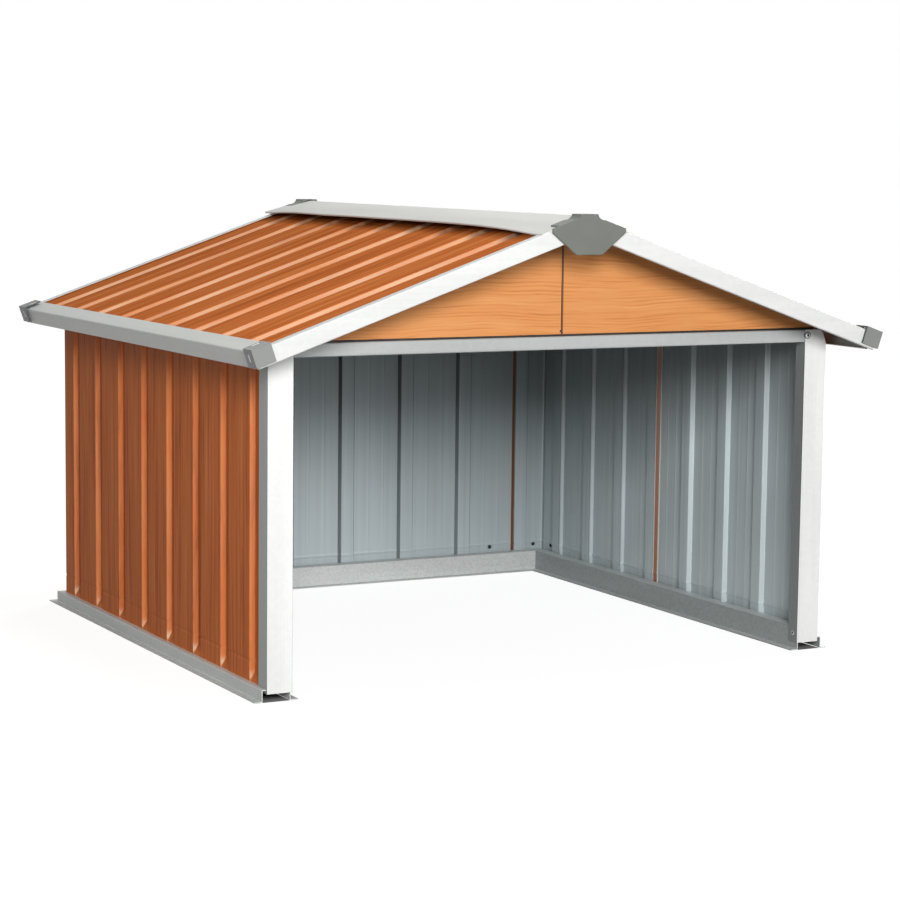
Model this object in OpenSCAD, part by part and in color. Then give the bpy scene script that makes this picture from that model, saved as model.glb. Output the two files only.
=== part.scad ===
// Robot mower garage: ribbed sheet walls on stepped ground rails, two channel posts and a header at the
// open front, and a pitched ribbed roof with folded trims and moulded caps.
// Millimetres, +Z up, the open front faces -Y, the origin is under the middle of the garage.

/* [Overall] */
// Width over the corner caps
garage_w = 970; // [920:1:1040]
// Depth over the corner caps
garage_d = 920; // [890:1:960]
// Height to the top of the apex caps
garage_h = 630; // [560:1:760]
// Slope of the roof in degrees
roof_angle = 19.2; // [14:0.1:24]
// Overhang of the roof beyond the posts at each side
side_overhang = 51; // [40:1:66]
// Overhang of the roof in front of the posts
front_overhang = 61; // [45:1:80]
// Overhang of the roof behind the back wall
rear_overhang = 50; // [30:1:70]

/* [Ribbed sheet] */
// Thickness of the wall and roof sheet
sheet_t = 1.2; // [0.8:0.1:2]
// Depth of the ribs pressed into the sheet
rib_depth = 7; // [4:0.5:10]
// Width of a rib across its flat
rib_flat = 20; // [12:1:26]
// Width that each sloping flank of a rib takes up
rib_flank = 4.5; // [2:0.5:8]
// Distance from the front of the posts to the middle of a side wall's first rib
front_rib_inset = 48.5; // [42:0.5:70]
// Distance from the back wall to the middle of a side wall's last rib
rear_rib_inset = 59.5; // [30:0.5:80]
// Distance from a side wall to the middle of the back wall's nearest rib
back_rib_inset = 50.8; // [30:0.2:80]
// Distance from the ends of the roof to the middle of its nearest rib
roof_rib_inset = 72; // [40:1:90]
// Depth of the small stiffening creases between the ribs
crease_depth = 0.8; // [0.4:0.1:1.2]
// Width of a stiffening crease
crease_w = 5; // [3:0.5:8]
// Height over which a rib is flattened at the foot of a wall
swage_h = 15; // [8:1:30]
// Margin of sheet beyond the last rib at a seam
seam_edge = 2; // [1:0.5:6]
// Outside radius of the bend in a corner panel
bend_r = 6; // [3:0.5:12]

/* [Posts and header] */
// Thickness of the posts, rails and headers
frame_t = 1.5; // [1:0.1:2.5]
// Width of a post's front face
post_face = 36; // [28:1:50]
// Depth of a post's outer return
post_outer_return = 28; // [20:1:34]
// Depth of a post's inner return
post_inner_return = 22; // [14:1:34]
// Height of the posts' feet above the ground
post_foot = 11; // [5:0.5:14]
// Width of the cut corner at the head of a post
post_cut_w = 8; // [4:1:24]
// Height of the cut corner at the head of a post
post_cut_h = 18; // [8:1:50]
// Height of a header's face
header_face = 18; // [12:1:40]
// Depth of the front header's flanges
header_flange = 22; // [14:1:40]
// Depth of the rear header's top flange
rear_header_flange = 26; // [20:1:40]
// Set-back of a gable from its header's face
gable_setback = 6; // [2:0.5:12]
// Lap of the two gable panels at their seam
gable_lap = 16; // [8:1:40]
// Height of a side top rail's upright leg
top_rail_leg = 18; // [12:1:30]
// Width of a side top rail's sloping leg
top_rail_shelf = 25; // [15:1:40]

/* [Ground rails] */
// Distance of a rail's outer web from the wall in front of it
rail_offset = 8.5; // [4:0.5:16]
// Height of a rail's shelf, where the wall stands
rail_shelf = 17; // [15:0.5:24]
// Height of a rail's inner step
rail_h = 33; // [26:1:50]
// Width of a rail's outer foot
rail_outer_foot = 10; // [5:0.5:20]
// Width of a rail's inner foot
rail_inner_foot = 11; // [5:0.5:20]

/* [Roof trims and caps] */
// Thickness of the roof trims
trim_t = 1.2; // [0.8:0.1:2]
// Height of the eave trims' outer face
eave_face = 24; // [18:1:34]
// Width of the eave trims' upper return
eave_return = 30; // [15:1:45]
// Height of the verge trims' face
verge_face = 23.5; // [18:0.5:32]
// Width of the verge trims' upper return
verge_return = 14; // [8:1:24]
// Width of the folded lower lip on the trims
trim_lip = 6; // [3:0.5:12]
// Length of a ridge cap's wing down the slope
ridge_wing = 74; // [45:1:90]
// Wall of the corner caps and apex caps
cap_wall = 4; // [2:0.5:6]
// Thickness of a corner cap's top
cap_skin = 2.2; // [1.5:0.1:4]
// Clearance under a corner cap's top, over the trims
cap_lift = 2.6; // [0.4:0.1:4]
// Length of a corner cap down the slope
corner_cap_w = 28; // [22:1:45]
// Length of a corner cap along the eave
corner_cap_d = 27; // [22:1:50]
// Height of a corner cap
corner_cap_h = 25; // [18:0.5:34]
// Width of the screw slots in a corner cap
cap_slot_w = 5; // [3:0.5:7]
// Length of the screw slots in a corner cap
cap_slot_l = 14; // [8:0.5:16]
// Width of an apex cap
apex_w = 112; // [90:1:140]
// Height of an apex cap
apex_h = 54; // [44:1:70]
// Depth of an apex cap's hood along the ridge
apex_hood = 27; // [20:1:50]
// Width of an apex cap's hood
apex_hood_w = 90; // [60:1:110]
// Width of the flat on an apex cap's crown
apex_flat = 26; // [14:1:34]
// Width over an apex cap's hollow shoulders
apex_shoulders = 50; // [42:1:60]
// Width of an apex cap's lower edge
apex_base = 40; // [24:1:60]
// Height of the blunt tips at the sides of an apex cap
apex_tip = 6; // [3:0.5:12]
// Thickness of an apex cap's wings over the ridge
apex_skin = 2.5; // [1.5:0.5:4]
// Height of an apex cap's crown above the ridge
apex_crown = 2; // [1:0.5:6]

/* [Hidden] */
// Clearance between pieces that sit against each other
seat_gap = 0.2;
// Clearance of a wall sheet's front edge inside its post
edge_gap = 2;
// Clearance between the wall tops and the roof sheet
eave_gap = 1;
// Distance from the ridge line at which the roof sheets and verges start
ridge_gap = 12;
// Overrun of every cut
overrun = 1;
// Segments in a bend and in a hollow shoulder
arc_steps = 6;
// Facets of round holes
$fn = 32;

// Ribs on each wall and roof slope, numbered from the front or from the left
wall_ribs = 8;
roof_ribs = 9;
// Ribs on a front panel, of which the last is lapped by the panel behind it
front_panel_ribs = 5;
back_left_ribs = [0, 4];
back_right_ribs = [3, 7];
// Places of the two creases between ribs, as shares of a crest's width
crease_shares = [1 / 3, 2 / 3];
// Share of a rib's depth that is left at the flattened foot
foot_depth_share = 0.12;

// Colours as seen on the object
wood_wall = "#9A5A34";
wood_roof = "#C4682F";
wood_gable = "#D4884F";
bare_zinc = "#C9CCC9";
pale_zinc = "#EDEDEA";
grey_plastic = "#858780";

// Roof planes: distances down a slope are called run and distances from its plane lift
apex_z = garage_h - apex_crown - 2 * trim_t / cos(roof_angle);
cap_top = trim_t + cap_lift + cap_skin;
eave_run = (garage_w / 2 - cap_top * sin(roof_angle)) / cos(roof_angle) - cap_wall;
verge_y = garage_d / 2 - cap_wall;
rib_reach = rib_flat / 2 + rib_flank;

// Wall planes, measured at the outside of the sheet between ribs
body_w = garage_w - 2 * side_overhang;
wall_x = body_w / 2 - frame_t - seat_gap;
front_y = -verge_y + front_overhang;
back_y = verge_y - rear_overhang;
// Rows of ribs: middle of the first, middle of the last and how many
side_row = [front_y + front_rib_inset, back_y - rear_rib_inset, wall_ribs];
back_row = [back_rib_inset - wall_x, wall_x - back_rib_inset, wall_ribs];
roof_row = [roof_rib_inset - verge_y, verge_y - roof_rib_inset, roof_ribs];
// Depth taken up inside a wall plane by ribs and lapped sheets
wall_depth = rib_depth + 3 * sheet_t + seat_gap;
header_top = roof_under(wall_x) - eave_gap;
header_foot = header_top - header_face;
wall_top = header_top - frame_t - seat_gap;
header_reach = wall_x - wall_depth;
rail_in_x = body_w / 2 - post_face + frame_t + seat_gap;
rail_in_depth = wall_x - rail_in_x;
rail_reach = rail_in_depth + rail_inner_foot + rail_offset + rail_outer_foot + overrun;
rear_header_y = back_y + seat_gap + frame_t;

// Height of the lowest roof sheet's underside over a point at x
function roof_under(x) =
    apex_z - (rib_depth + 2 * sheet_t + seat_gap) / cos(roof_angle) - x * tan(roof_angle);

// Height of the ridge cap's upper face over a point at x
function ridge_top(x) = apex_z + 2 * trim_t / cos(roof_angle) - x * tan(roof_angle);

// Spacing of a row of ribs, and the middle of its rib i
function rib_spacing(row) = (row[1] - row[0]) / (row[2] - 1);
function rib_at(row, i) = row[0] + i * rib_spacing(row);

// Offset direction at a corner of a folded strip, on the left of its path
function side_of(a, b) = [a.y - b.y, b.x - a.x] / norm(b - a);
function fold_offset(path, i) =
    let (last = len(path) - 1)
    let (n1 = side_of(path[max(i - 1, 0)], path[max(i, 1)]))
    let (n2 = side_of(path[min(i, last - 1)], path[min(i + 1, last)]))
    (n1 + n2) / (1 + n1 * n2);

// Outline of a strip of thickness t folded along a path, with the metal on the left of the path
function folded(path, t) =
    concat(path, [for (i = [len(path) - 1 : -1 : 0]) path[i] + t * fold_offset(path, i)]);

// Profile points [along, depth] of the ribs first to last, with the creases between them
function rib_points(c, depth) = [
    [c - rib_reach, 0],
    [c - rib_flat / 2, depth],
    [c + rib_flat / 2, depth],
    [c + rib_reach, 0]
];
function crease_points(c, depth) = [[c - crease_w / 2, 0], [c, depth], [c + crease_w / 2, 0]];
function crest_points(row, i, depth) =
    let (crest = rib_spacing(row) - 2 * rib_reach)
    [for (share = crease_shares) each crease_points(rib_at(row, i) + rib_reach + share * crest, depth)];
function sheet_points(row, first, last, depth_share) = [
    for (i = [first : last])
        each concat(
            rib_points(rib_at(row, i), depth_share * rib_depth),
            i < last ? crest_points(row, i, depth_share * crease_depth) : []
        )
];

// Plan points of a side wall, a rear bend and a back wall at a depth inside the wall planes
function side_plan(points, inset) = [for (p = points) [-wall_x + inset + p[1], p[0]]];
function back_plan(points, inset) = [for (p = points) [p[0], back_y - inset - p[1]]];
function bend_plan(side_inset, back_inset, r) =
    let (c = [-wall_x + side_inset + bend_r, back_y - back_inset - bend_r])
    [for (k = [0 : arc_steps]) c + r * [-cos(90 * k / arc_steps), sin(90 * k / arc_steps)]];

// Plan of the corner panel at a share of the ribs' depth; skin is 0 outside and the sheet's thickness inside
function corner_plan(side_layer, back_layer, depth_share, skin) =
    let (side = sheet_points(side_row, front_panel_ribs - 1, wall_ribs - 1, depth_share))
    let (back = sheet_points(back_row, 0, 0, depth_share))
    concat(
        side_plan([[side[0].x - seam_edge, 0]], side_layer * sheet_t + skin),
        side_plan(side, side_layer * sheet_t + skin),
        bend_plan(side_layer * sheet_t, back_layer * sheet_t, bend_r - skin),
        back_plan(back, back_layer * sheet_t + skin),
        back_plan([[back[len(back) - 1].x + seam_edge, 0]], back_layer * sheet_t + skin)
    );

// Solid wall sheet lofted up through rings, each an outer plan followed by its inner plan
module loft_sheet(outers, inners, heights) {
    n = len(outers[0]);
    rows = len(heights);
    ring = 2 * n;
    points = [
        for (k = [0 : rows - 1])
            each concat(
                [for (p = outers[k]) [p.x, p.y, heights[k]]],
                [for (i = [n - 1 : -1 : 0]) [inners[k][i].x, inners[k][i].y, heights[k]]]
            )
    ];
    sides = [
        for (k = [0 : rows - 2], i = [0 : ring - 1])
            let (a = k * ring + i)
            let (b = k * ring + (i + 1) % ring)
            each [[a, b, b + ring], [a, b + ring, a + ring]]
    ];
    top = (rows - 1) * ring;
    ends = [
        for (i = [0 : n - 2])
            each [
                [top + i, top + i + 1, top + ring - 2 - i, top + ring - 1 - i],
                [ring - 1 - i, ring - 2 - i, i + 1, i]
            ]
    ];
    polyhedron(points = points, faces = concat(sides, ends), convexity = 10);
}

// Heights and rib shares of a wall sheet: flattened foot, full ribs above it
wall_heights = [rail_shelf, rail_shelf + swage_h, wall_top];
wall_shares = [foot_depth_share, 1, 1];

// Front panel of the left wall, from inside its post to the lapped seam
module side_front_sheet() {
    function plan(share, skin) =
        let (ribs = sheet_points(side_row, 0, front_panel_ribs - 1, share))
        let (lapped = ribs[len(ribs) - 1].x + seam_edge)
        side_plan(concat([[front_y + frame_t + edge_gap, 0]], ribs, [[lapped, 0]]), skin);
    loft_sheet(
        [for (share = wall_shares) plan(share, 0)],
        [for (share = wall_shares) plan(share, sheet_t)],
        wall_heights
    );
}

// Rear panel of the left wall, bent round the rear corner to the back wall's first rib
module corner_sheet(back_layer) {
    loft_sheet(
        [for (share = wall_shares) corner_plan(1, back_layer, share, 0)],
        [for (share = wall_shares) corner_plan(1, back_layer, share, sheet_t)],
        wall_heights
    );
}

// Panel of the back wall with ribs span[0] to span[1], set in by a number of sheet thicknesses
module back_sheet(span, layer) {
    function plan(share, skin) =
        let (ribs = sheet_points(back_row, span[0], span[1], share))
        let (ends = [ribs[0].x - seam_edge, ribs[len(ribs) - 1].x + seam_edge])
        back_plan(concat([[ends[0], 0]], ribs, [[ends[1], 0]]), layer * sheet_t + skin);
    loft_sheet(
        [for (share = wall_shares) plan(share, 0)],
        [for (share = wall_shares) plan(share, sheet_t)],
        wall_heights
    );
}

// Stepped rail section: across is the distance outwards from the wall plane
function rail_section() = folded([
    [rail_offset + rail_outer_foot, frame_t],
    [rail_offset, frame_t],
    [rail_offset, rail_shelf],
    [-wall_depth, rail_shelf],
    [-wall_depth, rail_h],
    [-rail_in_depth, rail_h],
    [-rail_in_depth, frame_t],
    [-rail_in_depth - rail_inner_foot, frame_t]
], frame_t);

// Everything beyond the mitre line of the right rear corner, on the back wall's side
module mitre_cut() {
    translate([wall_x, back_y, -overrun])
        linear_extrude(rail_h + 2 * overrun)
            polygon([[rail_reach, rail_reach], [-rail_reach, -rail_reach], [-rail_reach, rail_reach]]);
}

// Right ground rail, notched for the post's outer return and mitred at the rear corner
module side_rail() {
    start_y = front_y + frame_t + seat_gap;
    length = back_y + rail_reach - start_y;
    difference() {
        translate([wall_x, start_y + length, 0])
            rotate([90, 0, 0])
                linear_extrude(length) polygon(rail_section());
        mitre_cut();
        translate([wall_x, start_y - overrun, rail_shelf - frame_t - overrun])
            cube([
                frame_t + 2 * seat_gap,
                post_outer_return - frame_t + 2 * overrun,
                frame_t + 2 * overrun
            ]);
    }
}

module rear_rail() {
    length = 2 * (wall_x + rail_reach);
    difference() {
        translate([-length / 2, back_y, 0])
            rotate([90, 0, 90])
                linear_extrude(length) polygon(rail_section());
        for (side = [0, 1])
            mirror([side, 0, 0])
                translate([wall_x, back_y, 0])
                    mirror([1, -1, 0])
                        translate([-wall_x, -back_y, 0]) mitre_cut();
    }
}

// Right post: a channel open to the rear, with a cut head and its inner return stopped under the header
module post() {
    outer_x = body_w / 2;
    inner_x = outer_x - post_face;
    difference() {
        translate([0, 0, post_foot])
            linear_extrude(header_top - post_foot)
                polygon(folded([
                    [inner_x, front_y + post_inner_return],
                    [inner_x, front_y],
                    [outer_x, front_y],
                    [outer_x, front_y + post_outer_return]
                ], frame_t));
        translate([inner_x - overrun, front_y + frame_t, header_foot - seat_gap])
            cube([frame_t + 2 * overrun, post_inner_return + overrun, header_face + 2 * overrun]);
        translate([outer_x, front_y + post_outer_return + overrun, header_top])
            rotate([90, 0, 0])
                linear_extrude(post_outer_return + 2 * overrun)
                    polygon([
                        [-post_cut_w, 0],
                        [0, -post_cut_h],
                        [overrun, -post_cut_h],
                        [overrun, overrun],
                        [-post_cut_w, overrun]
                    ]);
    }
}

// Folded section along X across the whole body, drawn in the YZ plane
module cross_bar(section) {
    translate([-header_reach, 0, 0])
        rotate([90, 0, 90])
            linear_extrude(2 * header_reach) polygon(section);
}

// Half of a gable from its outer end to x_end, in the XZ plane; face_y is its front face
module gable_half(x_end, face_y) {
    outline = [
        [-header_reach, header_top],
        [x_end, header_top],
        [x_end, roof_under(abs(x_end))],
        if (x_end > 0) [0, roof_under(0)],
        [-header_reach, roof_under(header_reach)]
    ];
    translate([0, face_y + sheet_t, 0])
        rotate([90, 0, 0])
            linear_extrude(sheet_t) polygon(outline);
}

// Right side top rail: an upright leg on the wall and a leg along the underside of the roof
module top_rail() {
    leg_x = wall_x - wall_depth;
    shelf_x = leg_x - top_rail_shelf * cos(roof_angle);
    start_y = front_y + frame_t + seat_gap + header_flange + seat_gap;
    end_y = rear_header_y - rear_header_flange - seat_gap;
    translate([0, end_y, 0])
        rotate([90, 0, 0])
            linear_extrude(end_y - start_y)
                polygon(folded([
                    [leg_x, roof_under(leg_x) - top_rail_leg],
                    [leg_x, roof_under(leg_x)],
                    [shelf_x, roof_under(shelf_x)]
                ], frame_t));
}

// Places children on the right slope: X down the slope, Z away from the roof plane
module on_slope() {
    translate([0, 0, apex_z]) rotate([0, roof_angle, 0]) children();
}

// Roof sheet with ribs first to last on the right slope, between two edges, laid layer sheets down
module roof_sheet(first, last, start_y, end_y, layer) {
    ribs = sheet_points(roof_row, first, last, 1);
    profile = concat([[start_y, 0]], ribs, [[end_y, 0]]);
    lift = -layer * sheet_t;
    upper = [for (p = profile) [p[0], lift - p[1]]];
    lower = [for (i = [len(upper) - 1 : -1 : 0]) upper[i] - [0, sheet_t]];
    on_slope()
        translate([ridge_gap, 0, 0])
            rotate([90, 0, 90])
                linear_extrude(eave_run - trim_t - seat_gap - ridge_gap) polygon(concat(upper, lower));
}

roof_edge_y = verge_y - trim_t - seat_gap;
roof_lap_y = rib_at(roof_row, front_panel_ribs - 1);

module roof_front_sheet() {
    roof_sheet(0, front_panel_ribs - 1, -roof_edge_y, roof_lap_y + rib_reach + seam_edge, 0);
}

module roof_rear_sheet() {
    roof_sheet(front_panel_ribs - 1, roof_ribs - 1, roof_lap_y - rib_reach - seam_edge, roof_edge_y, 1);
}

// Right eave trim between the verges
module eave_trim() {
    length = 2 * (verge_y - verge_return - seat_gap);
    on_slope()
        translate([eave_run, length / 2, 0])
            rotate([90, 0, 0])
                linear_extrude(length)
                    polygon(folded([
                        [-trim_lip, trim_t - eave_face],
                        [0, trim_t - eave_face],
                        [0, trim_t],
                        [-eave_return, trim_t]
                    ], trim_t));
}

// Front right verge trim
module verge_trim() {
    on_slope()
        translate([ridge_gap, -verge_y, 0])
            rotate([90, 0, 90])
                linear_extrude(eave_run - ridge_gap)
                    polygon(folded([
                        [verge_return, trim_t],
                        [0, trim_t],
                        [0, trim_t - verge_face],
                        [trim_lip, trim_t - verge_face]
                    ], trim_t));
}

// Front apex cap: a shaped plate with a hood that follows the ridge behind it
module apex_cap() {
    module outline() {
        shoulder = [apex_shoulders / 2, ridge_top(apex_shoulders / 2) + apex_skin];
        crown = [apex_flat / 2, garage_h];
        tip = [apex_w / 2, ridge_top(apex_w / 2) + apex_skin];
        half = concat(
            [for (k = [0 : arc_steps])
                let (a = 90 * k / arc_steps)
                crown + [(shoulder.x - crown.x) * (1 - cos(a)), (shoulder.y - crown.y) * sin(a)]],
            [tip, tip - [0, apex_tip], [apex_base / 2, garage_h - apex_h]]
        );
        polygon(concat(half, [for (i = [len(half) - 1 : -1 : 0]) [-half[i].x, half[i].y]]));
    }
    translate([0, -verge_y, 0]) rotate([90, 0, 0]) linear_extrude(cap_wall) outline();
    difference() {
        translate([0, -verge_y - cap_wall + apex_hood, 0])
            rotate([90, 0, 0])
                linear_extrude(apex_hood - cap_wall)
                    intersection() {
                        outline();
                        translate([-apex_hood_w / 2, garage_h - apex_h]) square([apex_hood_w, apex_h]);
                    }
        translate([0, -verge_y + apex_hood, 0])
            rotate([90, 0, 0])
                linear_extrude(apex_hood)
                    polygon([
                        [0, ridge_top(0)],
                        [apex_w, ridge_top(apex_w)],
                        [apex_w, garage_h - 2 * apex_h],
                        [-apex_w, garage_h - 2 * apex_h],
                        [-apex_w, ridge_top(apex_w)]
                    ]);
    }
}

// Slot through a cap wall along Z, long along X
module screw_slot() {
    travel = cap_slot_l - cap_slot_w;
    depth = cap_wall + 2 * overrun;
    for (side = [-1, 1])
        translate([side * travel / 2, 0, 0]) cylinder(h = depth, d = cap_slot_w, center = true);
    cube([travel, cap_slot_w, depth], center = true);
}

// Front right corner cap: top, outer side and front wall, slotted for its screws
module corner_cap() {
    inner_run = eave_run + cap_wall - corner_cap_w;
    foot = cap_top - corner_cap_h;
    rear_y = -garage_d / 2 + corner_cap_d;
    mid_run = (inner_run + eave_run) / 2;
    mid_y = (rear_y - verge_y) / 2;
    on_slope()
        difference() {
            translate([inner_run, -garage_d / 2, foot]) cube([corner_cap_w, corner_cap_d, corner_cap_h]);
            translate([inner_run - overrun, -verge_y, foot - overrun])
                cube([corner_cap_w - cap_wall + overrun, corner_cap_d, corner_cap_h - cap_skin + overrun]);
            translate([mid_run, rear_y - cap_slot_w, cap_top - cap_skin / 2]) screw_slot();
            translate([eave_run + cap_wall / 2, mid_y, foot + corner_cap_h / 2])
                rotate([0, 90, 0]) screw_slot();
        }
}

// Mirrors children from the right to the left, and from the front to the back
module left() { mirror([1, 0, 0]) children(); }
module rear() { mirror([0, 1, 0]) children(); }

// The pieces, one module each
module left_base_rail() { color(bare_zinc) left() side_rail(); }
module right_base_rail() { color(bare_zinc) side_rail(); }
module rear_base_rail() { color(bare_zinc) rear_rail(); }
module front_left_post() { color(pale_zinc) left() post(); }
module front_right_post() { color(pale_zinc) post(); }
module left_front_wall_panel() { color(wood_wall) side_front_sheet(); }
module right_front_wall_panel() { color(wood_wall) left() side_front_sheet(); }
module left_corner_panel() { color(wood_wall) corner_sheet(1); }
module right_corner_panel() { color(wood_wall) left() corner_sheet(2); }
module back_wall_left_panel() { color(wood_wall) back_sheet(back_left_ribs, 0); }
module back_wall_right_panel() { color(wood_wall) back_sheet(back_right_ribs, 1); }
module front_header() {
    face_y = front_y + frame_t + seat_gap;
    color(bare_zinc)
        cross_bar(folded([
            [face_y + header_flange, header_top],
            [face_y, header_top],
            [face_y, header_foot],
            [face_y + header_flange, header_foot]
        ], frame_t));
}
module rear_header() {
    color(bare_zinc)
        cross_bar(folded([
            [rear_header_y, header_foot],
            [rear_header_y, header_top],
            [rear_header_y - rear_header_flange, header_top]
        ], frame_t));
}
module left_top_rail() { color(bare_zinc) left() top_rail(); }
module right_top_rail() { color(bare_zinc) top_rail(); }
front_gable_y = front_y + frame_t + seat_gap + gable_setback;
module front_gable_left() { color(wood_gable) gable_half(0, front_gable_y); }
module front_gable_right() { color(wood_gable) left() gable_half(gable_lap, front_gable_y + sheet_t); }
rear_gable_y = -rear_header_y + gable_setback;
module rear_gable_left() { color(wood_gable) rear() gable_half(gable_lap, rear_gable_y + sheet_t); }
module rear_gable_right() { color(wood_gable) rear() left() gable_half(0, rear_gable_y); }
module left_roof_front_panel() { color(wood_roof) left() roof_front_sheet(); }
module left_roof_rear_panel() { color(wood_roof) left() roof_rear_sheet(); }
module right_roof_front_panel() { color(wood_roof) roof_front_sheet(); }
module right_roof_rear_panel() { color(wood_roof) roof_rear_sheet(); }
module left_eave_trim() { color(bare_zinc) left() eave_trim(); }
module right_eave_trim() { color(bare_zinc) eave_trim(); }
module front_left_verge() { color(pale_zinc) left() verge_trim(); }
module front_right_verge() { color(pale_zinc) verge_trim(); }
module rear_left_verge() { color(pale_zinc) rear() left() verge_trim(); }
module rear_right_verge() { color(pale_zinc) rear() verge_trim(); }
module ridge_cap() {
    tip = [ridge_wing * cos(roof_angle), ridge_top(ridge_wing * cos(roof_angle))];
    drop = [0, trim_t / cos(roof_angle)];
    color(bare_zinc)
        translate([0, verge_y, 0])
            rotate([90, 0, 0])
                linear_extrude(2 * verge_y)
                    polygon(folded([[-tip.x, tip.y] - drop, [0, ridge_top(0)] - drop, tip - drop], trim_t));
}
module front_apex_cap() { color(grey_plastic) apex_cap(); }
module rear_apex_cap() { color(grey_plastic) rear() apex_cap(); }
module front_left_corner_cap() { color(grey_plastic) left() corner_cap(); }
module front_right_corner_cap() { color(grey_plastic) corner_cap(); }
module rear_left_corner_cap() { color(grey_plastic) rear() left() corner_cap(); }
module rear_right_corner_cap() { color(grey_plastic) rear() corner_cap(); }

left_base_rail();
right_base_rail();
rear_base_rail();
front_left_post();
front_right_post();
left_front_wall_panel();
right_front_wall_panel();
left_corner_panel();
right_corner_panel();
back_wall_left_panel();
back_wall_right_panel();
front_header();
rear_header();
left_top_rail();
right_top_rail();
front_gable_left();
front_gable_right();
rear_gable_left();
rear_gable_right();
left_roof_front_panel();
left_roof_rear_panel();
right_roof_front_panel();
right_roof_rear_panel();
left_eave_trim();
right_eave_trim();
front_left_verge();
front_right_verge();
rear_left_verge();
rear_right_verge();
ridge_cap();
front_apex_cap();
rear_apex_cap();
front_left_corner_cap();
front_right_corner_cap();
rear_left_corner_cap();
rear_right_corner_cap();
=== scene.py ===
"""Looks of a robot mower garage: wood-printed ribbed sheets, folded zinc frame and trims, moulded grey caps.

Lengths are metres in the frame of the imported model: +Z up, the open front towards -Y.
"""
import logging
import math
from dataclasses import dataclass, field
from enum import Enum, IntEnum
from typing import Any, Iterable, Optional, Union

import bmesh
import bpy
from mathutils import Matrix, Vector


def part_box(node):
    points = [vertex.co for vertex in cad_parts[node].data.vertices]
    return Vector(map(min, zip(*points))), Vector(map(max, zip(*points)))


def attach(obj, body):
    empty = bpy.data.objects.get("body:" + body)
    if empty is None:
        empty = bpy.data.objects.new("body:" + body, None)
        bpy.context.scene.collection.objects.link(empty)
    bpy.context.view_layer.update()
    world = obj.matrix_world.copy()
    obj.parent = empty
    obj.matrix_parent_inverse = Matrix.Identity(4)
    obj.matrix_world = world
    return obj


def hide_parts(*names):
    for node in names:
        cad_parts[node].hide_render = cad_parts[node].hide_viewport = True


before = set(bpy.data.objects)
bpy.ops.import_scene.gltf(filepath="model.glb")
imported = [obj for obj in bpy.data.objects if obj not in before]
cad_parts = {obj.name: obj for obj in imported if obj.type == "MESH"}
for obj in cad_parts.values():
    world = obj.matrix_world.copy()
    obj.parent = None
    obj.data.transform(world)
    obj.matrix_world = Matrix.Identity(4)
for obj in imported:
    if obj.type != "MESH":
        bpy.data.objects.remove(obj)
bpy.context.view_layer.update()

log = logging.getLogger("garage")

BODY = "root"
PRINT_BAND = "print_band"
MM = 0.001
FAR_AWAY = 100.0
QUARTER_TURN = math.pi / 2
STEEL_T = 1.2 * MM
ROOF_ANGLE = math.radians(19.2)
SIDES = {"left": -1, "right": 1}
ENDS = {"front": -1, "rear": 1}

Colour = tuple[float, float, float]
Point = Union[Vector, tuple[float, float, float]]
Value = Union["Socket", float, int, tuple, str, bpy.types.ID]


def srgb(red: int, green: int, blue: int) -> Colour:
    """Turns a colour as it is seen on screen into the linear one that shaders use.

    Args:
        red: Red from 0 to 255.
        green: Green from 0 to 255.
        blue: Blue from 0 to 255.

    Returns:
        The linear colour.
    """
    def linear(level: int) -> float:
        """Linear share of one channel."""
        share = level / 255
        return share / 12.92 if share <= 0.04045 else ((share + 0.055) / 1.055) ** 2.4

    return linear(red), linear(green), linear(blue)


class Socket:
    """An output socket of a node, with arithmetic that adds Math nodes."""

    def __init__(self, graph: "Graph", socket: bpy.types.NodeSocket) -> None:
        """Keeps the socket and the graph that it is in."""
        self.graph = graph
        self.socket = socket

    def math(self, operation: str, *others: Value) -> "Socket":
        """Adds a Math node that has this value first and the others after it."""
        values = dict(enumerate((self, *others)))
        return self.graph.node("ShaderNodeMath", {"operation": operation}, values)

    def swapped(self, operation: str, first: float) -> "Socket":
        """Adds a Math node that has this value second."""
        return self.graph.node("ShaderNodeMath", {"operation": operation}, {0: first, 1: self})

    def __add__(self, other: Value) -> "Socket":
        """Sum."""
        return self.math("ADD", other)

    def __sub__(self, other: Value) -> "Socket":
        """Difference."""
        return self.math("SUBTRACT", other)

    def __mul__(self, other: Value) -> "Socket":
        """Product."""
        return self.math("MULTIPLY", other)

    def __truediv__(self, other: Value) -> "Socket":
        """Quotient."""
        return self.math("DIVIDE", other)

    def __pow__(self, other: Value) -> "Socket":
        """Power."""
        return self.math("POWER", other)

    def __radd__(self, other: float) -> "Socket":
        """Sum with a number first."""
        return self.swapped("ADD", other)

    def __rsub__(self, other: float) -> "Socket":
        """Difference from a number."""
        return self.swapped("SUBTRACT", other)

    def least(self, other: Value) -> "Socket":
        """The smaller of two values."""
        return self.math("MINIMUM", other)

    def most(self, other: Value) -> "Socket":
        """The larger of two values."""
        return self.math("MAXIMUM", other)

    def distance(self, other: Value) -> "Socket":
        """How far this value is from another."""
        return (self - other).math("ABSOLUTE")

    def smooth(self, low: Value, high: Value) -> "Socket":
        """Eases from 0 at one value to 1 at another.

        Args:
            low: The value that gives 0.
            high: The value that gives 1.

        Returns:
            The eased share.
        """
        return self.graph.node(
            "ShaderNodeMapRange",
            {"interpolation_type": "SMOOTHSTEP"},
            {"Value": self, "From Min": low, "From Max": high},
        )


@dataclass(frozen=True)
class Cells:
    """Noise drawn out along a grain: its cells to a metre both ways, its layer and its finer detail."""

    across: float
    along: float
    layer: float = 0.0
    detail: float = 2.0
    roughness: float = 0.5


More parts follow.
